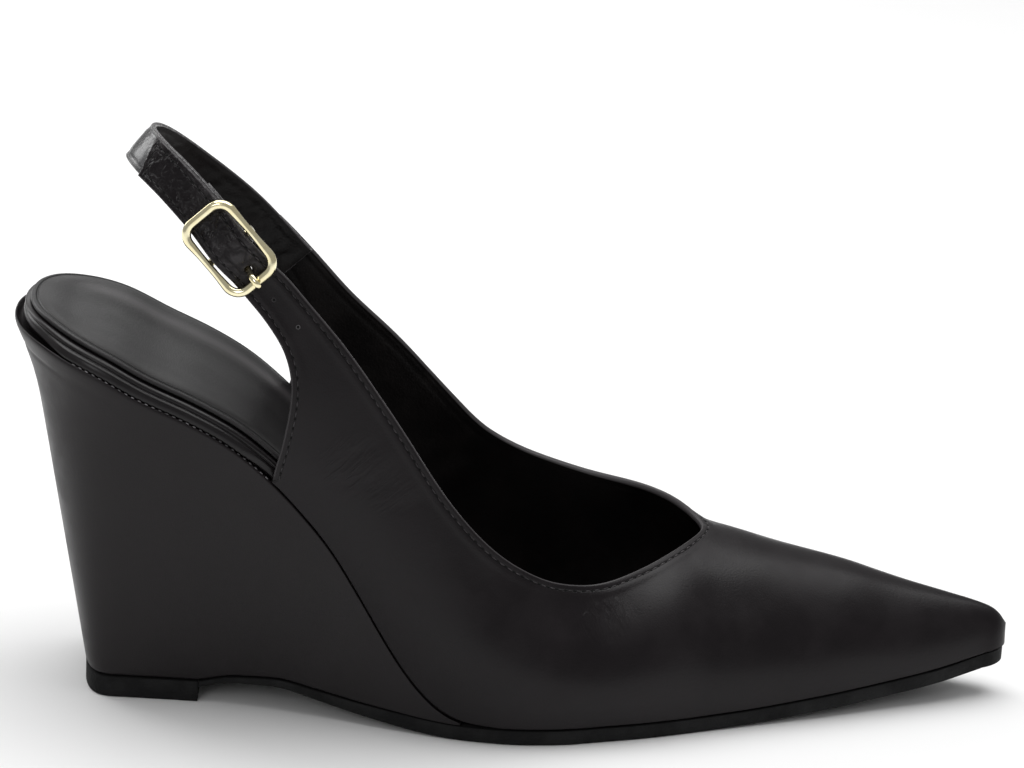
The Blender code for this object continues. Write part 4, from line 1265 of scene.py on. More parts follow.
class Finishes:
    """Every finish of the shoe, built once."""

    def __init__(self) -> None:
        """Builds the shared groups, then each material."""
        effects = Effects()
        self.upper = LeatherFinish(
            "black_calf", colour=(0.0060, 0.0044, 0.0053), rub_and_sheen_tone=(0.0095, 0.0072, 0.0084),
            specular=0.19, line_at=1.65, crinkle=0.50, crinkle_flat_sheen=1.3, patches=(
                ((79.0, -35.0, 65.5), 10.5, 45.0, 0.34), ((89.0, -35.6, 60.0), 8.0, 38.0, 0.28),
                ((139.0, -29.0, 28.0), 9.5, -62.0, 0.34)),
        ).build(effects)
        self.lining = LeatherFinish(
            "black_lining", colour=(0.0046, 0.0036, 0.0036), rub_and_sheen_tone=(0.0105, 0.0078, 0.0074),
            roughness=(0.38, 0.52), specular=0.28, coat=0.0, pores=1900.0, grain=0.14,
        ).build(effects)
        # The strap's light bluish rub tone paints a sheen over it; its crinkle flats and the band
        # beside its border line are painted highlights
        self.strap = LeatherFinish(
            "glazed_strap", colour=(0.0055, 0.0048, 0.0062), rub_and_sheen_tone=(0.0190, 0.0182, 0.0230),
            roughness=(0.24, 0.40), specular=0.40, coat=0.30, coat_roughness=0.18,
            crinkle=0.55, line_at=0.75, line_width=0.34, line_depth=0.9, ridge=0.45, crinkle_flat_sheen=2.2,
        ).build(effects)
        self.wedge = LeatherFinish(
            "wedge_cover", colour=(0.0070, 0.0052, 0.0060), rub_and_sheen_tone=(0.0105, 0.0082, 0.0092),
            roughness=(0.38, 0.50), grain=0.07,
        ).build(effects)
        self.welt = LeatherFinish(
            "footbed_binding", colour=(0.0058, 0.0048, 0.0054), roughness=(0.28, 0.42), coat=0.15,
            coat_roughness=0.18, grain=0.07,
        ).build(effects)
        # The sock's sheen is a painted highlight band along its inner side
        self.sock = LeatherFinish(
            "sock_leather", colour=(0.0066, 0.0060, 0.0064), rub_and_sheen_tone=(0.0086, 0.0080, 0.0084),
            roughness=(0.37, 0.42), specular=0.34, sheen=0.75, coat=0.0, pores=2100.0, grain=0.14,
            line_at=1.35, line_width=0.35, line_depth=0.8,
        ).build(effects)
        self.sole = RubberFinish("sole_rubber", ribs=62.0).build(effects)
        self.tap = RubberFinish("tap_rubber", stipple=0.8, ribs=90.0).build(effects)
        self.gold = MetalFinish("pale_gold").build(effects)
        # The threads' dark grey is their own tone; the specks mottled three and nine times lighter are
        # painted glints
        self.thread = ThreadFinish("black_thread", colour=(0.014, 0.0125, 0.0135),
                                   roughness=0.36, lighter=3.0).build(effects)
        # The needle-hole finish is near black: painted shade for holes that are not cut
        self.needle = ThreadFinish("needle_hole_shade", colour=(0.0015, 0.0014, 0.0015),
                                   roughness=0.9).build(effects)
        self.wax = ThreadFinish("waxed_thread", colour=(0.022, 0.021, 0.022),
                                roughness=0.3, lighter=9.0).build(effects)
        self.floor = FloorFinish().build(effects)


# Repeated parts


class RepeatTree:
    """Geometry nodes that set a small part on each point that it is given."""

    def __init__(self, name: str, inputs: Sequence[tuple[str, str]]) -> None:
        """Starts the tree, with its inputs by name and kind."""
        self.tree = bpy.data.node_groups.new(name, "GeometryNodeTree")
        self.ids: dict[str, str] = {}
        face = self.tree.interface
        for key, kind in (("Points", "Geometry"), *inputs):
            socket = face.new_socket(name=key, in_out="INPUT", socket_type="NodeSocket" + kind)
            self.ids[key] = socket.identifier
        face.new_socket(name="Parts", in_out="OUTPUT", socket_type="NodeSocketGeometry")
        self.graph = Graph(self.tree)
        self.come = self.tree.nodes.new("NodeGroupInput").outputs
        self.go = self.tree.nodes.new("NodeGroupOutput").inputs

    def upright(self) -> bpy.types.NodeSocket:
        """Rotation that stands a part on the face under its point."""
        normal = self.graph.node("GeometryNodeInputNamedAttribute", {"Name": "face"},
                                 data_type="FLOAT_VECTOR")
        stand = self.graph.node("FunctionNodeAlignRotationToVector", axis="Z")
        self.graph.feed(stand.inputs["Vector"], normal.outputs["Attribute"])
        return stand.outputs["Rotation"]

    def lay(self, name: str, points: Iterable, edges: list, vectors: Iterable,
            values: dict[str, object]) -> bpy.types.Object:
        """Lays the parts as one plain mesh.

        Args:
            name: the piece's name.
            points: their places, metres.
            edges: pairs of points that make a path.
            vectors: normal of the face under each point.
            values: the tree's inputs.

        Returns:
            The parts as one plain mesh.
        """
        mesh = bpy.data.meshes.new(name)
        mesh.from_pydata([tuple(p) for p in points], edges, [])
        layer = mesh.attributes.new("face", "FLOAT_VECTOR", "POINT")
        flat = np.array([tuple(v) for v in vectors], np.float32).ravel()
        layer.data.foreach_set("vector", flat)
        obj = add_object(name, mesh)
        modifier = obj.modifiers.new(self.tree.name, "NODES")
        modifier.node_group = self.tree
        for key, value in values.items():
            modifier[self.ids[key]] = value
        return settle(obj)


class SewingTree(RepeatTree):
    """Geometry nodes that lay stitches, or dark blobs of painted shade for the holes between them,
    along a path.
    """

    def __init__(self) -> None:
        """Builds the tree."""
        super().__init__("sewing", (
            ("Pitch", "Float"), ("Long", "Float"), ("Wide", "Float"), ("Tall", "Float"),
            ("Phase", "Int"), ("Finish", "Material")))
        g, come = self.graph, self.come
        curve = g.node("GeometryNodeMeshToCurve", {0: come["Points"]})
        even = g.node("GeometryNodeResampleCurve", {0: curve.outputs[0]}, mode="LENGTH")
        g.feed(even.inputs["Length"], g.math("DIVIDE", come["Pitch"], 2.0))
        odd = g.math("MODULO", g.node("GeometryNodeInputIndex").outputs[0], 2.0)
        chosen = g.node("FunctionNodeCompare", {0: odd, 1: come["Phase"], "Epsilon": 0.1},
                        data_type="FLOAT", operation="EQUAL")
        turn = g.node("FunctionNodeAlignRotationToVector", {
            "Rotation": self.upright(), "Vector": g.node("GeometryNodeInputTangent").outputs[0]},
            axis="X", pivot_axis="Z")
        shape = g.node("GeometryNodeMeshUVSphere", {"Segments": 8, "Rings": 5, "Radius": 0.5})
        size = g.node("ShaderNodeCombineXYZ", {0: come["Long"], 1: come["Wide"], 2: come["Tall"]})
        sized = g.node("GeometryNodeTransform", {"Geometry": shape.outputs["Mesh"],
                                                 "Scale": size.outputs[0]})
        rounded = g.node("GeometryNodeSetShadeSmooth", {0: sized.outputs[0]})
        placed = g.node("GeometryNodeInstanceOnPoints", {
            "Points": even.outputs[0], "Selection": chosen.outputs["Result"],
            "Instance": rounded.outputs[0], "Rotation": turn.outputs["Rotation"]})
        real = g.node("GeometryNodeRealizeInstances", {0: placed.outputs[0]})
        dressed = g.node("GeometryNodeSetMaterial", {"Geometry": real.outputs[0],
                                                     "Material": come["Finish"]})
        g.feed(self.go[0], dressed.outputs[0])

    def sew(self, name: str, paths: Sequence[tuple[np.ndarray, np.ndarray]],
            material: bpy.types.Material, phase: int, **sizes: float) -> bpy.types.Object:
        """Lays stitches along paths.

        Args:
            name: the piece's name.
            paths: points, metres, and their normals, for each run.
            material: finish of the thread.
            phase: 0 for the stitches, 1 for the dark blobs of painted shade that stand for the holes
                between them.
            sizes: the tree's inputs in millimetres.

        Returns:
            The stitches as one plain mesh.
        """
        edges, first = [], 0
        for line, _ in paths:
            edges += [(first + i, first + i + 1) for i in range(len(line) - 1)]
            first += len(line)
        values = {key: float(value) * MM for key, value in sizes.items()}
        return self.lay(name, np.vstack([line for line, _ in paths]), edges,
                        np.vstack([faces for _, faces in paths]),
                        {**values, "Phase": phase, "Finish": material})


class PunchTree(RepeatTree):
    """Geometry nodes that set a punched hole on each point: a pressed rim round a flat dark disc of
    painted shade.
    """

    def __init__(self) -> None:
        """Builds the tree."""
        super().__init__("punching", (
            ("Radius", "Float"), ("Rim", "Float"), ("Dark", "Material"), ("Leather", "Material")))
        g, come = self.graph, self.come
        ring, wire = (
            g.node("GeometryNodeCurvePrimitiveCircle", {"Resolution": count, "Radius": radius})
            for count, radius in ((20, come["Radius"]), (8, come["Rim"])))
        rim = g.node("GeometryNodeCurveToMesh", {"Curve": ring.outputs[0],
                                                 "Profile Curve": wire.outputs[0]})
        rounded = g.node("GeometryNodeSetShadeSmooth", {0: rim.outputs[0]})
        # The hole is not cut: a flat dark disc paints its shade
        flat = g.node("GeometryNodeMeshCylinder", {"Vertices": 20, "Radius": come["Radius"],
                                                   "Depth": come["Rim"]})
        both = g.node("GeometryNodeJoinGeometry")
        for form, finish in ((rounded.outputs[0], "Leather"), (flat.outputs["Mesh"], "Dark")):
            dressed = g.node("GeometryNodeSetMaterial", {"Geometry": form,
                                                         "Material": come[finish]})
            g.feed(both.inputs[0], dressed.outputs[0])
        placed = g.node("GeometryNodeInstanceOnPoints", {
            "Points": come["Points"], "Instance": both.outputs[0], "Rotation": self.upright()})
        real = g.node("GeometryNodeRealizeInstances", {0: placed.outputs[0]})
        g.feed(self.go[0], real.outputs[0])

    def punch(self, name: str, marks: Sequence[tuple[Vector, Vector]], dark: bpy.types.Material,
              leather: bpy.types.Material, radius: float) -> bpy.types.Object:
        """Makes the holes.

        Args:
            name: the piece's name.
            marks: place and normal of each hole.
            dark: finish of the flat disc, painted shade for the depth of the hole.
            leather: finish of the rim.
            radius: of a hole, millimetres.

        Returns:
            The holes as one plain mesh.
        """
        return self.lay(name, [p for p, _ in marks], [], [n for _, n in marks], {
            "Radius": radius * MM, "Rim": 0.22 * radius * MM, "Dark": dark, "Leather": leather})


@dataclass(frozen=True)
class Fold:
    """A soft crease or ridge in the leather, between two places."""

    start: tuple[float, float, float]
    end: tuple[float, float, float]
    depth: float
    width: float

    def push(self, points: np.ndarray) -> np.ndarray:
        """How far each point moves along its normal, in millimetres."""
        a, b = np.array(self.start), np.array(self.end)
        line = b - a
        t = np.clip(((points - a) @ line) / (line @ line), 0, 1)
        off = np.linalg.norm(points - (a + t[:, None] * line), axis=1)
        fade = np.sin(np.pi * np.clip(t, 0.02, 0.98)) ** 0.6
        return -self.depth * hump(off, 0.0, self.width) * fade


def finish_piece(obj: bpy.types.Object, part: Part, *nodes: str) -> bpy.types.Object:
    """Rides a piece on the shoe and the nodes that it stands for."""
    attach(obj, "root")
    if nodes:
        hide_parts(*nodes)
    LOG.info("%s: %d faces", obj.name, len(obj.data.polygons))
    return obj


def edge_run(mesh: bpy.types.Mesh, chain: Sequence[int], offset: float, lift: float = 0.0
             ) -> list[tuple[np.ndarray, np.ndarray]]:
    """Runs at a set distance inside a chain of edge corners.

    Args:
        mesh: the open sheet.
        chain: corners of the edge, in order.
        offset: distance from the edge, millimetres.
        lift: height over the sheet, millimetres.

    Returns:
        Points and normals of each run.
    """
    co, no = coordinates(mesh), normals(mesh)
    edge = co[list(chain)]
    up = no[list(chain)]
    along = np.gradient(edge, axis=0)
    inward = np.cross(up, along)
    inward /= np.linalg.norm(inward, axis=1)[:, None] + 1e-12
    tree, near = surface_tree(mesh), point_tree(edge)
    middle = len(edge) // 2
    probe = edge[middle] + inward[middle] * offset * MM
    sign = 1.0 if np.linalg.norm(np.array(tree.find_nearest(probe)[0]) - probe) < 0.0004 else -1.0
    runs, points, faces = [], [], []
    for p, direction in zip(edge, inward, strict=True):
        spot, normal, _, _ = tree.find_nearest(p + direction * sign * offset * MM)
        if near.find(spot)[2] < 0.82 * offset * MM:
            if len(points) > 6:
                runs.append((np.array(points), np.array(faces)))
                points, faces = [], []
            continue
        if points and np.linalg.norm(np.array(spot) - points[-1]) < 0.0002:
            continue
        points.append(np.array(spot + normal * lift * MM))
        faces.append(np.array(normal))
    if len(points) > 6:
        runs.append((np.array(points), np.array(faces)))
    return runs


@dataclass
class UpperPiece:
    """The vamp, both quarters and the buckle tail, with their edge sewing and holes."""

    last: Last
    route: StrapRoute
    layers: Layers
    rows: int = 15
    rear_columns: int = 7
    tail_segments: int = 5
    rear_reach: float = 84.0
    tail_root: float = 0.60
    root_top: tuple[float, float] = (0.3185, 0.3110)
    bridges: tuple[float, ...] = (0.68, 0.76, 0.84, 0.92)
    tail_length: float = 27.0
    tail_slant: float = 2.4
    hole_half: float = 0.80
    sewing: float = 1.65
    pitch: float = 2.4
    rounding: float = 0.34
    end_drop: float = 0.9
    swell: tuple[tuple[float, float], ...] = ((55.0, 0.16), (130.0, 0.05))
    crackle: tuple[tuple[float, float], ...] = ((330.0, 0.10),)
    margin: tuple[float, float, float, float] = (0.0, 0.8, 2.6, 1.2)
    margin_height: float = 0.14
    groove_depth: float = 0.16
    groove_width: float = 0.45
    folds: tuple[Fold, ...] = (
        Fold((76.0, -35.0, 66.0), (86.0, -35.5, 72.0), 0.22, 1.4),
        Fold((74.0, -34.8, 60.0), (84.0, -35.5, 64.0), 0.20, 1.2),
        Fold((83.0, -35.4, 60.0), (91.0, -36.0, 66.5), 0.20, 1.3),
        Fold((88.0, -36.0, 55.5), (97.0, -36.2, 59.0), 0.16, 1.3),
        Fold((134.0, -28.2, 32.5), (137.0, -31.0, 27.0), 0.20, 1.1),
        Fold((138.5, -26.5, 33.0), (142.5, -30.8, 26.0), 0.20, 1.1),
        Fold((143.5, -24.5, 34.0), (147.5, -28.5, 27.0), 0.16, 1.1),
        Fold((106.0, -35.6, 44.0), (118.0, -36.5, 32.0), 0.22, 3.0),
        Fold((112.0, -35.0, 40.0), (124.0, -35.5, 30.0), -0.18, 3.2),
        Fold((160.0, -20.0, 31.5), (186.0, -13.0, 25.5), 0.30, 5.0),
        Fold((150.0, 24.0, 33.0), (176.0, 17.0, 28.0), 0.30, 5.0),
        Fold((96.0, 32.8, 44.0), (110.0, 32.5, 52.0), 0.24, 2.2),
        Fold((100.0, 33.0, 38.0), (116.0, 33.0, 45.0), 0.20, 2.0),
    )
    spare_holes: tuple[tuple[float, float, float], ...] = (
        (61.0, -31.4, 103.6), (66.6, -32.3, 97.7),
    )

    def back_edge(self, side: Side, climb: float) -> np.ndarray:
        """Place on a quarter's back edge, from the seam to its end."""
        last = self.last
        _, low_climb, _ = END_OUTER if side is Side.OUTER else END_INNER
        track = Track(BACK_OUTER if side is Side.OUTER else BACK_INNER, 1)
        seam_z = float(last.seam(0.258 * last.length)) + last.gap
        end_z = blend(last.throat_height, last.quarter_top, low_climb)
        return np.array([float(track(climb)) * last.length, blend(seam_z, end_z, climb)])

    def across(self, low: np.ndarray, top_x: float, side: Side) -> list[np.ndarray]:
        """Places from the back edge up to the collar, parted like the buckle tail."""
        high = np.array([top_x, float(self.last.collar(top_x, side)[1])])
        half = self.layers.slot_half / self.layers.strap_width
        return [blend(low, high, share)
                for share in (0.0, 0.25 - half / 2, 0.5 - half, 0.5 + half, 0.75 + half / 2, 1.0)]

    def quarter(self, side: Side) -> list[np.ndarray]:
        """Back columns of a quarter."""
        last, rows = self.last, self.rows
        cut, below = self.tail_root, rows - self.tail_segments
        top_x = self.root_top[side is Side.INNER] * last.length
        back = [self.back_edge(side, cut * i / below) for i in range(below)]
        back += self.across(self.back_edge(side, cut), top_x, side)
        end_high, seam_x = back[-1], back[0][0]
        front = last.section(self.rear_reach, side, np.linspace(0, 1, rows + 1))
        columns = []
        for j in range(self.rear_columns):
            u = j / self.rear_columns
            foot_x = blend(seam_x, self.rear_reach, u)
            top_x = blend(end_high[0], self.rear_reach, u)
            foot = np.array([foot_x, float(last.seam(foot_x)) + last.gap])
            top = np.array([top_x, float(last.collar(top_x, side)[1])])
            foot_flat = blend(back[0], np.array([self.rear_reach, front[0][1]]), u)
            top_flat = blend(back[-1], np.array([self.rear_reach, front[-1][1]]), u)
            column = []
            for i in range(rows + 1):
                v = i / rows
                spot = blend(back[i], np.array([self.rear_reach, front[i][1]]), u)
                spot = spot + (1 - v) * (foot - foot_flat) + v * (top - top_flat)
                column.append((spot[0], last.wall(spot[0], spot[1], side), spot[1]))
            columns.append(np.array(column))
        return columns

    def tail(self) -> tuple[list[float], list[list[np.ndarray]]]:
        """Marks along the buckle tail, and its columns."""
        half = self.layers.half_buckle
        marks = [half * s for s in
                 (0.73, 0.58, 0.43, 0.25, 0.0, -0.25, -0.48, -0.70, -0.93, -1.14)]
        near_end = marks[-1]
        marks += [blend(near_end, -self.tail_length, i / 6) for i in range(1, 7)]
        layers = self.layers
        over = layers.strap_over_bar + layers.tail_over_strap
        columns = []
        for distance in marks:
            lift = layers.bump(distance, over, layers.tail_over_strap)
            far = max(0.0, (distance - near_end) / (-self.tail_length - near_end))
            column = []
            for b in layers.marks(self.hole_half):
                slip = self.tail_slant * far * (b / layers.strap_width + 0.5)
                column.append(self.route.place(distance - slip, b, lift))
            columns.append(column)
        return marks, columns

    def sheet(self, finishes: Finishes) -> bpy.types.Object:
        """Outer face of the upper, as an open sheet."""
        last = self.last
        points, faces, seams, glaze_and_sheen = [], [], [], []

        def add(point: Sequence[float], seam: bool, shine: float) -> int:
            """Adds one corner, and gives its number."""
            points.append(tuple(float(c) for c in point))
            seams.append(1.0 if seam else 0.0)
            glaze_and_sheen.append(shine)
            return len(points) - 1

        places = list(np.linspace(self.rear_reach, last.throat, 24))
        places += list(np.linspace(last.throat, last.toe_start, 18))[1:]
        turn = np.pi / 2 * np.arange(1, 7) / 6
        places += list(last.toe_start + last.toe_round * np.sin(turn))
        share = np.linspace(0, 1, self.rows + 1)
        shared: dict[int, list[int]] = {}
        for side in Side:
            columns = self.quarter(side)
            for x in places:
                cut = last.section(x, side, share)
                columns.append(np.column_stack([np.full(len(cut), x), cut]))
            grid = []
            for j, column in enumerate(columns):
                numbers = []
                for i, p in enumerate(column):
                    nose = j == len(columns) - 1
                    crest = i == self.rows and p[0] >= last.throat - 1e-6
                    if side is Side.INNER and nose:
                        numbers.append(shared[-1][i])
                    elif side is Side.INNER and crest:
                        numbers.append(shared[j][0])
                    else:
                        numbers.append(add(p, i == 0, 0.0))
                if side is Side.OUTER:
                    shared[j] = [numbers[-1]]
                    shared[-1] = numbers
                grid.append(numbers)
            for j in range(len(grid) - 1):
                for i in range(self.rows):
                    face = (grid[j][i], grid[j + 1][i], grid[j + 1][i + 1], grid[j][i + 1])
                    faces.append(face if side is Side.OUTER else face[::-1])
            self.join_end(side, grid[0], add, faces)
        mesh = bpy.data.meshes.new("upper_leather")
        clean = [tuple(dict.fromkeys(f)) for f in faces]
        mesh.from_pydata(metres(points).tolist(), [], [f for f in clean if len(f) > 2])
        set_mark(mesh, "seam", np.array(seams))
        set_mark(mesh, "glaze_and_sheen", np.array(glaze_and_sheen))
        mesh.shade_smooth()
        mesh.materials.append(finishes.upper)
        mesh.materials.append(finishes.lining)
        return add_object("upper_leather", mesh)

    def bridge(self, side: Side) -> list[list[np.ndarray]]:
        """Columns from a quarter's root to its end."""
        inner = side is Side.INNER
        start, end = self.root_top[inner], (END_INNER if inner else END_OUTER)[2]
        columns = []
        for climb in self.bridges + ((1.0,) if inner else ()):
            far = (climb - self.tail_root) / (1 - self.tail_root)
            flat = self.across(self.back_edge(side, climb),
                               blend(start, end, far) * self.last.length, side)
            drop = self.end_drop * far**2 if inner else 0.0
            columns.append([
                np.array([x, self.last.wall(x, z, side), z - drop * (i / 5) ** 4])
                for i, (x, z) in enumerate(flat)])
        return columns

    def join_end(self, side: Side, root: list[int], add: Callable, faces: list) -> None:
        """Adds a quarter's narrow end, with the buckle tail on the outer one."""
        half, columns = self.layers.half_buckle, self.bridge(side)
        marks = [2 * half] * len(columns)
        if side is Side.OUTER:
            tail_marks, tail = self.tail()
            last_bridge = columns[-1]
            columns += [[blend(a, b, share) for a, b in zip(last_bridge, tail[0], strict=True)]
                        for share in (0.36, 0.70)]
            marks = [2 * half] * len(columns) + tail_marks
            columns += tail
        strips = [root[self.rows - self.tail_segments:]]
        for mark, column in zip(marks, columns, strict=True):
            shine = float(ease((12.0 - mark) / 6.0))
            strips.append([add(p, False, shine) for p in column])
        for j in range(len(strips) - 1):
            hole = j > 0 and marks[j - 1] <= 0.74 * half and marks[j] >= 0.57 * half
            for i in range(self.tail_segments):
                if hole and i == self.tail_segments // 2:
                    continue
                face = (strips[j + 1][i], strips[j][i], strips[j][i + 1], strips[j + 1][i + 1])
                faces.append(face if side is Side.OUTER else face[::-1])

    def shape(self, obj: bpy.types.Object) -> list[int]:
        """Presses creases into the sheet, marks its edge distance and gives its sewn edge."""
        mesh = obj.data
        co, no = coordinates(mesh), normals(mesh)
        flat = co / MM - CENTRE
        push = np.zeros(len(co))
        for fold in self.folds:
            push += fold.push(flat)
        shine = read_mark(mesh, "glaze_and_sheen")
        for i, p in enumerate(co):
            push[i] += ripple(p, self.swell) + ripple(p, self.crackle) * float(shine[i])
        seam = read_mark(mesh, "seam")
        loop = open_edges(mesh)[0]
        turned = next(i for i, v in enumerate(loop) if seam[v] > 0.5)
        loop = loop[turned:] + loop[:turned]
        chain = [v for v in loop if seam[v] < 0.5]
        edge = distances(co, co[chain]) / MM
        margin = window(edge, *self.margin) * self.margin_height
        groove = -self.groove_depth * hump(edge, self.sewing, self.groove_width)
        low = distances(co, co[[v for v in loop if seam[v] > 0.5]]) / MM
        push *= ease(edge / 1.5) * ease(low / 3.0)
        move_corners(mesh, co + no * ((push + margin + groove) * MM)[:, None])
        set_mark(mesh, "edge_mm", edge)
        return chain

    def build(self, finishes: Finishes, sewing: SewingTree, punching: PunchTree) -> None:
        """Builds the upper and everything sewn or punched in it."""
        obj = subdivide(self.sheet(finishes), 2)
        runs = edge_run(obj.data, self.shape(obj), self.sewing, 0.02)
        tree = surface_tree(obj.data)
        marks = [tree.find_nearest(Vector(metres(spot)))[:2] for spot in self.spare_holes]
        thicken(obj, self.layers.wall, 0.0, self.rounding)
        finish_piece(obj, Part.UPPER, "upper")
        for phase, (name, finish, sizes) in enumerate((
                ("upper_stitches", finishes.thread, (1.50, 0.34, 0.22)),
                # Needle holes: dark blobs of painted shade between the stitches
                ("upper_needle_hole_shades", finishes.needle, (0.75, 0.50, 0.16)))):
            row = sewing.sew(name, runs, finish, phase, Pitch=self.pitch,
                             **dict(zip(("Long", "Wide", "Tall"), sizes, strict=True)))
            finish_piece(row, Part.UPPER)
        # Spare holes: painted shade in a dark disc, and a painted highlight on the rim from the light
        # waxed finish
        spare = punching.punch("spare_holes", marks, finishes.needle, finishes.wax, 0.42)
        finish_piece(spare, Part.UPPER)


@dataclass
class SlingPiece:
    """The sling strap with its sewn borders, the buckle and its prong."""

    route: StrapRoute
    layers: Layers
    fold_back: float = 14.0
    rail_lift: float = 3.6
    prong_width: float = 1.5
    slot_reach: float = 3.0
    rounding: float = 0.3
    run: int = 48
    puff: float = 0.30
    groove: tuple[float, float, float] = (0.12, 1.3, 0.4)
    crackle: tuple[tuple[float, float], ...] = ((330.0, 0.20), (760.0, 0.08))
    plain_from: float = -85.0
    girths: tuple[float, ...] = (0.70, 0.82, 0.88, 0.75)

    def profile(self) -> list[tuple[float, float, bool]]:
        """Distance, lift and whether the slot is open, along the strap and round its fold."""
        layers = self.layers
        half = layers.half_buckle
        start = float(self.route.along[0])
        marks = [(blend(start, -half, i / self.run), 0.0, False) for i in range(self.run + 1)]
        for share in (-0.83, -0.58, -0.352, -0.166):
            distance = share * half
            lift = layers.bump(distance, layers.strap_over_bar, 0.0)
            marks.append((distance, lift, distance > -self.slot_reach))
        radius = layers.strap_over_bar - layers.bar_lift
        for i in range(9):
            angle = math.pi / 2 - math.pi * i / 8
            marks.append((radius * math.cos(angle), layers.bar_lift + radius * math.sin(angle), True))
        for distance in (-0.166 * half, -0.352 * half, -0.725 * half, -self.fold_back):
            marks.append((distance, layers.bar_lift - radius, distance > -self.slot_reach))
        return marks

    def build_strap(self, finishes: Finishes) -> None:
        """Builds the strap."""
        profile, marks = self.profile(), self.layers.marks(self.layers.slot_half)
        points = [self.route.place(d, b, lift) for d, lift, _ in profile for b in marks]
        count = len(marks)
        faces = []
        for j in range(len(profile) - 1):
            gap = profile[j][2] or profile[j + 1][2]
            for i in range(count - 1):
                if not (gap and i == count // 2 - 1):
                    a = j * count + i
                    faces.append((a, a + count, a + count + 1, a + 1))
        looks = [finishes.strap, finishes.lining]
        obj = place_mesh("strap_leather", points, faces, looks, closed=False)
        subdivide(obj, 2)
        mesh = obj.data
        co, no = coordinates(mesh), normals(mesh)
        loop = open_edges(mesh)[0]
        edge = distances(co, co[[*loop, loop[0]]]) / MM
        depth, *at = self.groove
        puff = self.puff * ease((edge - 1.2) / 1.6) - depth * hump(edge, *at)
        rough = np.array([ripple(p, self.crackle) for p in co])
        back = ease((self.plain_from - co[:, 0] / MM) / 4.0)
        push = (puff * 0.5 + rough * ease(edge / 2.0) * (1 - 0.75 * back)) * ease(edge / 0.8)
        move_corners(mesh, co + no * (push * MM)[:, None])
        set_mark(mesh, "edge_mm", edge)
        set_mark(mesh, "glaze_and_sheen", 1 - 0.8 * back)
        thicken(obj, self.layers.strap, 0.5, self.rounding)
        finish_piece(obj, Part.STRAP, "sling_strap")

    def wire_lift(self, along: np.ndarray) -> np.ndarray:
        """Lift of the wire: low beside the bar, full at the corners."""
        layers = self.layers
        share = np.clip(np.abs(along) / (0.92 * layers.half_buckle), 0, 1)
        return blend(self.rail_lift, layers.frame_end, 1 - np.cos(np.pi / 2 * share))

    def build_buckle(self, finishes: Finishes) -> None:
        """Builds the buckle's wire with its bar and the lugs that hold it."""
        layers = self.layers
        half, wide, corner = layers.half_buckle, layers.half_frame, layers.corner
        line = []
        for sx, sy, start in ((1, 1, 0.0), (-1, 1, 0.5), (-1, -1, 1.0), (1, -1, 1.5)):
            for i in range(13):
                angle = math.pi * (start + 0.5 * i / 12)
                line.append((sx * (half - corner) + corner * math.cos(angle),
                             sy * (wide - corner) + corner * math.sin(angle)))
            if start in (0.0, 1.0):
                sign = 1 if start == 0.0 else -1
                for share in np.linspace(0.88, -0.88, 15):
                    line.append((sign * share * (half - corner), sign * wide))
        flat = np.array(line)
        lift = self.wire_lift(flat[:, 0])
        centres = np.array([
            self.route.at_buckle(a, b, h) for (a, b), h in zip(flat, lift, strict=True)
        ])
        out = self.route.axes(0.0)[2]
        share = ease((np.abs(flat[:, 0]) / half - 0.21) / 0.58)
        radius = blend(layers.rail, layers.wire, share) / 2
        pieces = [tube(centres, out, radius, radius * 0.92, 18, True)]
        ends = np.array([self.route.at_buckle(0.0, b, layers.bar_lift) for b in (-wide, wide)])
        girth = np.full(2, layers.bar / 2)
        pieces.append(tube(ends, out, girth, girth, 16, False))
        for sign in (-1, 1):
            lug = np.array([
                self.route.at_buckle(
                    0.0, sign * (wide - d),
                    blend(self.rail_lift, layers.bar_lift + 0.45, min(1.0, d / 0.8)))
                for d in (0.1, 0.45, 0.80, 0.95)
            ])
            pieces.append(tube(lug, out, np.array(self.girths), np.array(self.girths), 14, False))
        self.join("buckle_wire", pieces, finishes.gold, "buckle_frame")

    def build_prong(self, finishes: Finishes) -> None:
        """Builds the prong, from its loop on the bar to its tip over the end wire."""
        layers = self.layers
        loop = layers.bar / 2 + layers.gap + layers.prong / 2
        top = layers.frame_end + layers.wire / 2 + layers.gap + layers.prong / 2
        angles = np.radians(np.linspace(350.0, 80.0, 20))
        knots = [(loop * math.cos(a), layers.bar_lift + loop * math.sin(a)) for a in angles]
        knots += [(a * layers.half_buckle, blend(layers.bar_lift, top, s)) for a, s in PRONG_WAY]
        centres = smooth_line(
            np.array([self.route.at_buckle(a, 0.0, h) for a, h in knots]), 4
        )
        width = self.route.axes(0.0)[1]
        taper = np.ones(len(centres))
        taper[-4:] = (0.96, 0.88, 0.72, 0.40)
        pieces = [tube(centres, width, taper * layers.prong / 2,
                       taper * self.prong_width / 2, 14, False)]
        self.join("buckle_tongue", pieces, finishes.gold, "buckle_prong")

    @staticmethod
    def join(name: str, pieces: Sequence[tuple[list, list]], material: bpy.types.Material,
             node: str) -> None:
        """Makes one piece of several closed forms."""
        points, faces = [], []
        for more_points, more_faces in pieces:
            first = len(points)
            points += list(more_points)
            faces += [tuple(first + i for i in face) for face in more_faces]
        obj = place_mesh(name, points, faces, [material])
        finish_piece(obj, Part.GOLD, node)

    def build(self, finishes: Finishes) -> None:
        """Builds the strap, the buckle and the prong."""
        self.build_strap(finishes)
        self.build_buckle(finishes)
        self.build_prong(finishes)


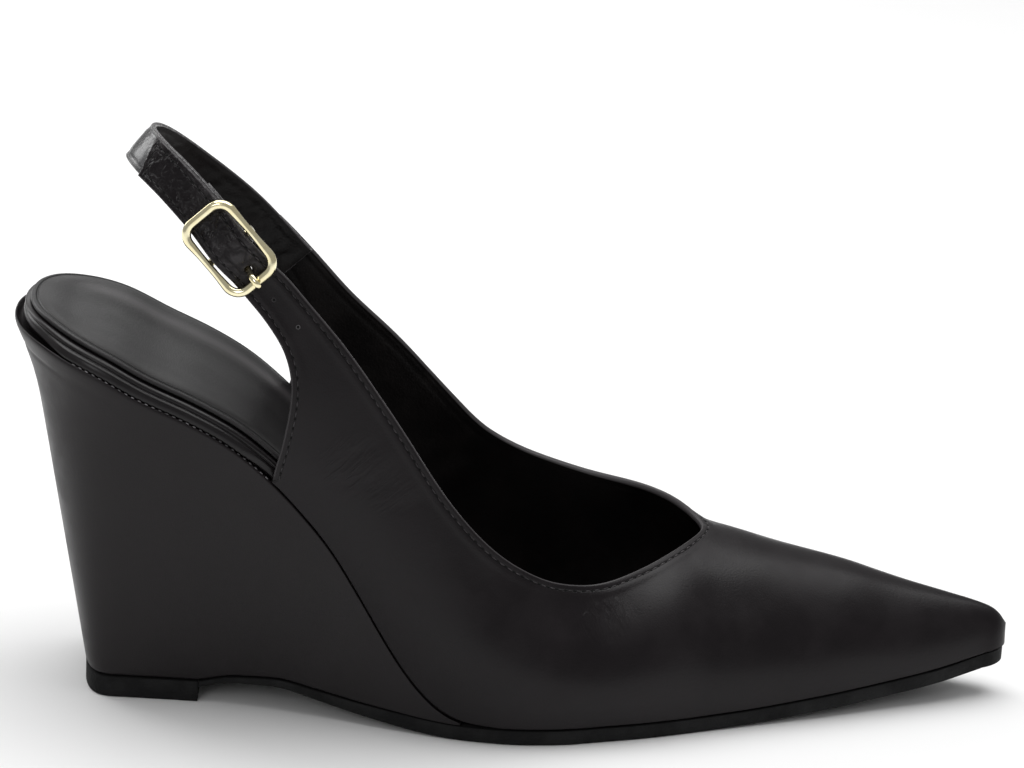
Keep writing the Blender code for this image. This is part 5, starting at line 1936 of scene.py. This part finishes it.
@dataclass
class FootbedPiece:
    """The wrapped footbed board and the sock on it."""

    last: Last
    wall: float = 1.6
    board: float = 3.5
    sock: float = 1.2
    sock_inset: float = 1.0
    flush: float = 1.55
    cup: float = 0.75
    roll: float = 0.45
    # Place across of the sock's painted sheen band, as a share of the inner half width
    sheen_band_at: float = 0.55
    band: tuple[float, float, float, float] = (5.0, 9.0, 54.0, 7.0)
    roll_reach: tuple[float, float, float, float] = (3.0, 16.0, 62.0, 26.0)
    # Stretch along the sock where the painted sheen band shows
    sheen_reach: tuple[float, float, float, float] = (4.0, 16.0, 58.0, 22.0)
    rolls: tuple[tuple[float, float, float], ...] = (
        (0.30, 0.00, 1.0), (0.06, 0.18, 1.0), (0.00, 0.55, 1.0), (0.02, 1.10, 0.97),
        (0.06, 1.65, 0.90), (0.14, 2.02, 0.78), (0.34, 2.18, 0.60), (0.42, 2.30, 0.45),
        (0.20, 2.42, 0.38), (0.02, 2.66, 0.32), (0.00, 2.92, 0.26), (0.14, 3.20, 0.18),
        (0.42, 3.40, 0.10), (0.80, 3.50, 0.0),
    )
    sock_rolls: tuple[tuple[float, float], ...] = (
        (0.12, 0.00), (0.00, 0.25), (0.00, 0.60), (0.12, 0.92), (0.38, 1.12), (0.70, 1.16),
        (0.95, 1.06), (1.15, 1.06), (1.45, 1.20), (2.2, 1.30), (3.4, 1.36),
    )

    def over(self, lift: float) -> Placing:
        """Placing of points at a height over the seam."""
        return lambda x: self.last.lifted(x, lift)

    def build_board(self, finishes: Finishes) -> None:
        """Builds the board, whose wrapped edge has a groove between two soft rolls."""
        edge, low, top = self.wall + self.last.gap, self.last.gap, self.last.gap + self.board

        def inset_at(inset: float, share: float) -> Callable[[np.ndarray], np.ndarray]:
            """Inset that brings the band out to the wedge's side between its ends."""
            return lambda x: edge + inset - self.flush * share * window(x, *self.band)

        profile = [(inset_at(inset, share), self.over(low + lift))
                   for inset, lift, share in self.rolls]
        profile.append((edge + 2.0, self.over(top)))
        places = self.last.stations(0.0, self.last.length, 120)
        points, faces = sided_solid(places, self.last.outline, profile)
        obj = place_mesh("footbed_band", points, faces, [finishes.welt])
        finish_piece(obj, Part.WELT, "insole_board")

    def build_sock(self, finishes: Finishes) -> None:
        """Builds the sock, softly padded, with a pressed line inside its edge and a painted sheen band
        along its inner side.
        """
        low = self.board + 2 * self.last.gap
        edge = self.wall + self.last.gap + self.sock_inset
        profile = [(edge + inset, self.over(low + lift)) for inset, lift in self.sock_rolls]
        places = self.last.stations(0.0, self.last.length, 130)

        def crown(x: np.ndarray, share: float) -> np.ndarray:
            """Heel cup across the sock, with a soft roll along its inner side."""
            off = abs(2 * share - 1)
            dip = self.cup * (1 - off**3) * (1 - ease((x - 60.0) / 30.0))
            rise = self.roll * hump(share, 0.80, 0.10) * window(x, *self.roll_reach)
            return (rise - dip) * ease(x / 8.0)

        points, faces = sided_solid(places, self.last.outline, profile, across=22, crown=crown)
        obj = place_mesh("sock_lining", points, faces, [finishes.sock])
        mesh = obj.data
        co = coordinates(mesh)
        rim = []
        for side in Side:
            plan = inset_side(places, self.last.outline(places, side), edge, side)
            x, z = self.last.lifted(plan[:, 0], low + 0.9)
            line = np.column_stack([x, plan[:, 1], z])
            rim.append(line if side is Side.OUTER else line[::-1])
        set_mark(mesh, "edge_mm", distances(co, metres(np.vstack(rim))) / MM)
        # Painted sheen: a soft band along the inner side, which the finish lightens towards its rim
        # colour
        x, y = (co / MM - CENTRE)[:, :2].T
        shine = hump(y, self.sheen_band_at * self.last.outline(x, Side.INNER), 3.4)
        set_mark(mesh, "glaze_and_sheen", shine * window(x, *self.sheen_reach))
        finish_piece(obj, Part.SOCK, "sock")

    def build(self, finishes: Finishes) -> None:
        """Builds the board and the sock."""
        self.build_board(finishes)
        self.build_sock(finishes)


@dataclass
class WedgePiece:
    """The covered wedge, the sole and the tap under its heel."""

    last: Last
    lip: float = 2.5
    reach: float = 107.04
    tap_height: float = 5.2
    bevel: float = 0.5
    edge_round: float = 0.35
    foot_share: float = 0.012
    top_share: float = 0.01
    crease: float = 0.30
    crease_at: float = 0.935
    crease_width: float = 0.007
    seam_span: tuple[float, float] = (16.0, 61.0)
    seam_inset: float = 0.30
    seam_lift: float = 0.16
    seam_tilt: float = 0.8
    channel: tuple[tuple[float, float], ...] = (
        (0.50, 0.02), (0.66, 0.12), (0.80, 0.40), (0.92, 0.95), (1.10, 1.35), (1.90, 1.45),
        (3.00, 1.45),
    )

    def corner(self) -> np.ndarray:
        """Places along the tap's round corner, from its back."""
        return self.last.undercut + self.last.tap_corner * CORNER_STEPS

    def underside(self, x: np.ndarray) -> np.ndarray:
        """Height of the wedge's underside: over the tap, then over the sole."""
        over_tap = self.tap_height + self.last.gap
        over_sole = self.last.under(x) + self.last.thickness(x) + self.last.gap
        step = ease((x - self.last.tap_end) / 6.0)
        ahead = np.maximum(over_sole, blend(over_tap, over_sole, step))
        return np.where(x < self.last.tap_end, over_tap, ahead)

    def loop(self, x: np.ndarray, half: Callable[[np.ndarray, Side], np.ndarray],
             inset: np.ndarray) -> np.ndarray:
        """Plan loop from the outer front round the back to the inner front."""
        outer, inner = (inset_side(x, half(x, side), inset, side) for side in Side)
        return np.vstack([outer[::-1], inner])

    def build_wedge(self, finishes: Finishes) -> None:
        """Builds the covered wedge with its lip."""
        last = self.last
        ahead = np.arange(1, 61) / 60
        top_x = np.concatenate([
            last.seat_round * CORNER_STEPS, blend(last.seat_round, self.reach, ahead)])
        low_x = np.concatenate([
            self.corner(), blend(last.undercut + last.tap_corner, self.reach, ahead)])
        plain_low = self.loop(low_x, last.base, np.zeros(len(low_x)))
        plain_high = self.loop(top_x, last.outline, np.zeros(len(top_x)))
        floor, seam = self.underside(plain_low[:, 0]), last.seam(plain_high[:, 0])
        track = Track(WEDGE_SIDE, 1)
        levels = np.concatenate([
            [0.0, 0.004, 0.012], np.linspace(0.03, 0.86, 22), np.linspace(0.88, 0.99, 22), [0.996, 1.0],
        ])
        fade = self.lip * (1 - ease((top_x - 8.0) / 36.0))
        rings = []
        for level in levels:
            foot = 1 - min(level / self.foot_share, 1.0)
            top = max(0.0, (level - 1 + self.top_share) / self.top_share)
            round_off = self.edge_round * (1 - math.sqrt(max(0.0, 1 - foot**2)) + top**2)
            low = self.loop(low_x, last.base, np.full(len(low_x), round_off))
            crease = self.crease * float(hump(level, self.crease_at, self.crease_width))
            round_off = round_off + crease * (1 - ease((top_x - 2.0) / 12.0))
            high = self.loop(top_x, last.outline, fade * float(track(level)) + round_off)
            plan = blend(low, plain_high, level) + (high - plain_high)
            rings.append(np.column_stack([plan, blend(floor, seam, level)]))
        open_heel = 1 - ease((top_x - 6.0) / 10.0)
        for inset, drop in self.channel:
            plan = self.loop(top_x, last.outline, np.full(len(top_x), inset))
            fall = np.concatenate([(drop * open_heel)[::-1], drop * open_heel])
            rings.append(np.column_stack([plan, last.seam(plan[:, 0]) - fall]))
        points, faces = loft(np.array(rings), caps=(True, True))
        obj = place_mesh("wedge_cover", points, faces, [finishes.wedge])
        finish_piece(obj, Part.WEDGE, "wedge")

    def flat(self, lift: float) -> Placing:
        """Placing at a height over the sole's underside."""
        return lambda x: (x, self.last.under(x) + lift)

    def build_sole(self, finishes: Finishes) -> None:
        """Builds the sole."""
        last = self.last
        profile = [(self.bevel, self.flat(0.0)), (0.15, self.flat(0.14)), (0.0, self.flat(0.45))]
        for inset, drop in ((0.0, 0.18), (0.2, 0.0)):
            profile.append((inset, lambda x, drop=drop: (
                x, last.under(x) + last.thickness(x) - drop)))
        places = last.stations(last.sole_start, last.length, 120)
        points, faces = sided_solid(places, last.tread, profile, capped=True)
        obj = place_mesh("sole_rubber_sheet", points, faces, [finishes.sole])
        obj.data.set_sharp_from_angle(angle=math.radians(50))
        finish_piece(obj, Part.RUBBER, "outsole")

    def build_tap(self, finishes: Finishes) -> None:
        """Builds the heel tap."""
        last, tall = self.last, self.tap_height
        places = np.concatenate([
            self.corner(), np.linspace(last.undercut + last.tap_corner, last.tap_end, 14)[1:]])
        heights = (
            (self.bevel, 0.0), (0.14, 0.14), (0.0, 0.45), (0.0, tall - 0.25), (0.22, tall))
        profile = [(inset, lambda x, z=z: (x, 0 * x + z)) for inset, z in heights]
        points, faces = sided_solid(places, last.base, profile)
        count = len(points) // len(places)
        faces.append(tuple(range(len(points) - count, len(points))))
        obj = place_mesh("heel_tap_rubber", points, faces, [finishes.tap])
        obj.data.set_sharp_from_angle(angle=math.radians(50))
        finish_piece(obj, Part.RUBBER, "heel_tap")

    def build_seam(self, finishes: Finishes, sewing: SewingTree) -> None:
        """Builds the row of waxed stitches under the footbed's edge."""
        last = self.last
        runs = []
        x = np.linspace(*self.seam_span, 90)
        for side in Side:
            plan = inset_side(x, last.outline(x, side), self.seam_inset, side)
            px, pz = last.lifted(plan[:, 0], self.seam_lift)
            face = np.column_stack([
                -last.slope(x), np.full(len(x), side.value * self.seam_tilt), np.ones(len(x))])
            face /= np.linalg.norm(face, axis=1)[:, None]
            runs.append((metres(np.column_stack([px, plan[:, 1], pz])), face))
        obj = sewing.sew("welt_stitches", runs, finishes.wax, 0, Pitch=1.7, Long=0.95, Wide=0.3,
                         Tall=0.26)
        finish_piece(obj, Part.WELT)

    def build(self, finishes: Finishes, sewing: SewingTree) -> None:
        """Builds the wedge, the sole, the tap and their seam."""
        self.build_wedge(finishes)
        self.build_sole(finishes)
        self.build_tap(finishes)
        self.build_seam(finishes, sewing)


@dataclass
class Studio:
    """Camera, floor and soft lights."""

    aim: tuple[float, float, float] = (-0.0034, 0.0009, 0.0751)
    azimuth: float = -2.5
    elevation: float = 18.9
    roll: float = 3.0
    distance: float = 0.820
    lens: float = 122.34
    ambient: float = 0.32
    light_aim: tuple[float, float, float] = (0.0, 0.0, 0.05)
    lights: tuple[tuple[str, tuple[float, ...], tuple[float, float], float], ...] = (
        ("overhead", (0.05, 0.25, 1.3), (1.6, 1.2), 20.0),
        ("left_back", (-0.9, 0.7, 0.6), (0.5, 0.7), 3.4),
        ("rear", (-0.2, 1.25, 0.55), (0.9, 0.3), 1.0),
        ("front_left", (-0.55, -1.2, 0.75), (0.35, 0.5), 2.0),
    )

    def build_camera(self) -> None:
        """Sets the camera at the photo's angle."""
        az, el, roll = (math.radians(a) for a in (self.azimuth, self.elevation, self.roll))
        ahead = Vector((-math.sin(az) * math.cos(el), math.cos(az) * math.cos(el), -math.sin(el)))
        right = Vector((math.cos(az), math.sin(az), 0.0))
        up = right.cross(ahead)
        across = right * math.cos(roll) + up * math.sin(roll)
        upward = up * math.cos(roll) - right * math.sin(roll)
        turn = Matrix((across, upward, -ahead)).transposed()
        data = bpy.data.cameras.new("camera")
        data.lens = self.lens
        data.sensor_width = 36.0
        data.clip_start = 0.01
        camera = add_object("camera", data)
        camera.matrix_world = Matrix.Translation(
            Vector(self.aim) - ahead * self.distance) @ turn.to_4x4()
        bpy.context.scene.camera = camera
        bpy.context.scene.view_settings.view_transform = "Standard"

    def build_floor(self, finishes: Finishes) -> None:
        """Lays the floor."""
        mesh = bpy.data.meshes.new("floor")
        reach = 6.0
        mesh.from_pydata(
            [(-reach, -reach, 0), (reach, -reach, 0), (reach, reach, 0), (-reach, reach, 0)], [],
            [(0, 1, 2, 3)])
        mesh.materials.append(finishes.floor)
        floor = add_object("floor", mesh)
        floor.location.z = -0.00002

    def add_light(self, name: str, place: Sequence[float], size: Sequence[float],
                  power: float) -> None:
        """Hangs one soft light that faces the shoe."""
        data = bpy.data.lights.new(name, "AREA")
        data.shape = "RECTANGLE"
        data.size, data.size_y = size
        data.energy = power
        light = add_object(name, data)
        light.location = place
        facing = Vector(self.light_aim) - Vector(place)
        light.rotation_euler = facing.to_track_quat("-Z", "Y").to_euler()

    def build_lights(self) -> None:
        """Lights the shoe from above, with softer light from each side."""
        world = bpy.data.worlds.new("studio")
        world.use_nodes = True
        back = world.node_tree.nodes["Background"]
        back.inputs["Color"].default_value = (1.0, 1.0, 1.0, 1.0)
        back.inputs["Strength"].default_value = self.ambient
        bpy.context.scene.world = world
        for name, place, size, power in self.lights:
            self.add_light(name, place, size, power)

    def build(self, finishes: Finishes) -> None:
        """Builds the camera, the floor and the lights."""
        self.build_camera()
        self.build_floor(finishes)
        self.build_lights()


def main() -> None:
    """Builds the studio, then the shoe from the sole up."""
    logging.basicConfig(level=logging.INFO, format="%(name)s %(message)s")
    finishes = Finishes()
    Studio().build(finishes)
    last, layers = Last(), Layers()
    route = StrapRoute(last)
    sewing, punching = SewingTree(), PunchTree()
    WedgePiece(last).build(finishes, sewing)
    FootbedPiece(last).build(finishes)
    UpperPiece(last, route, layers).build(finishes, sewing, punching)
    SlingPiece(route, layers).build(finishes)


if __name__ == "__main__":
    main()
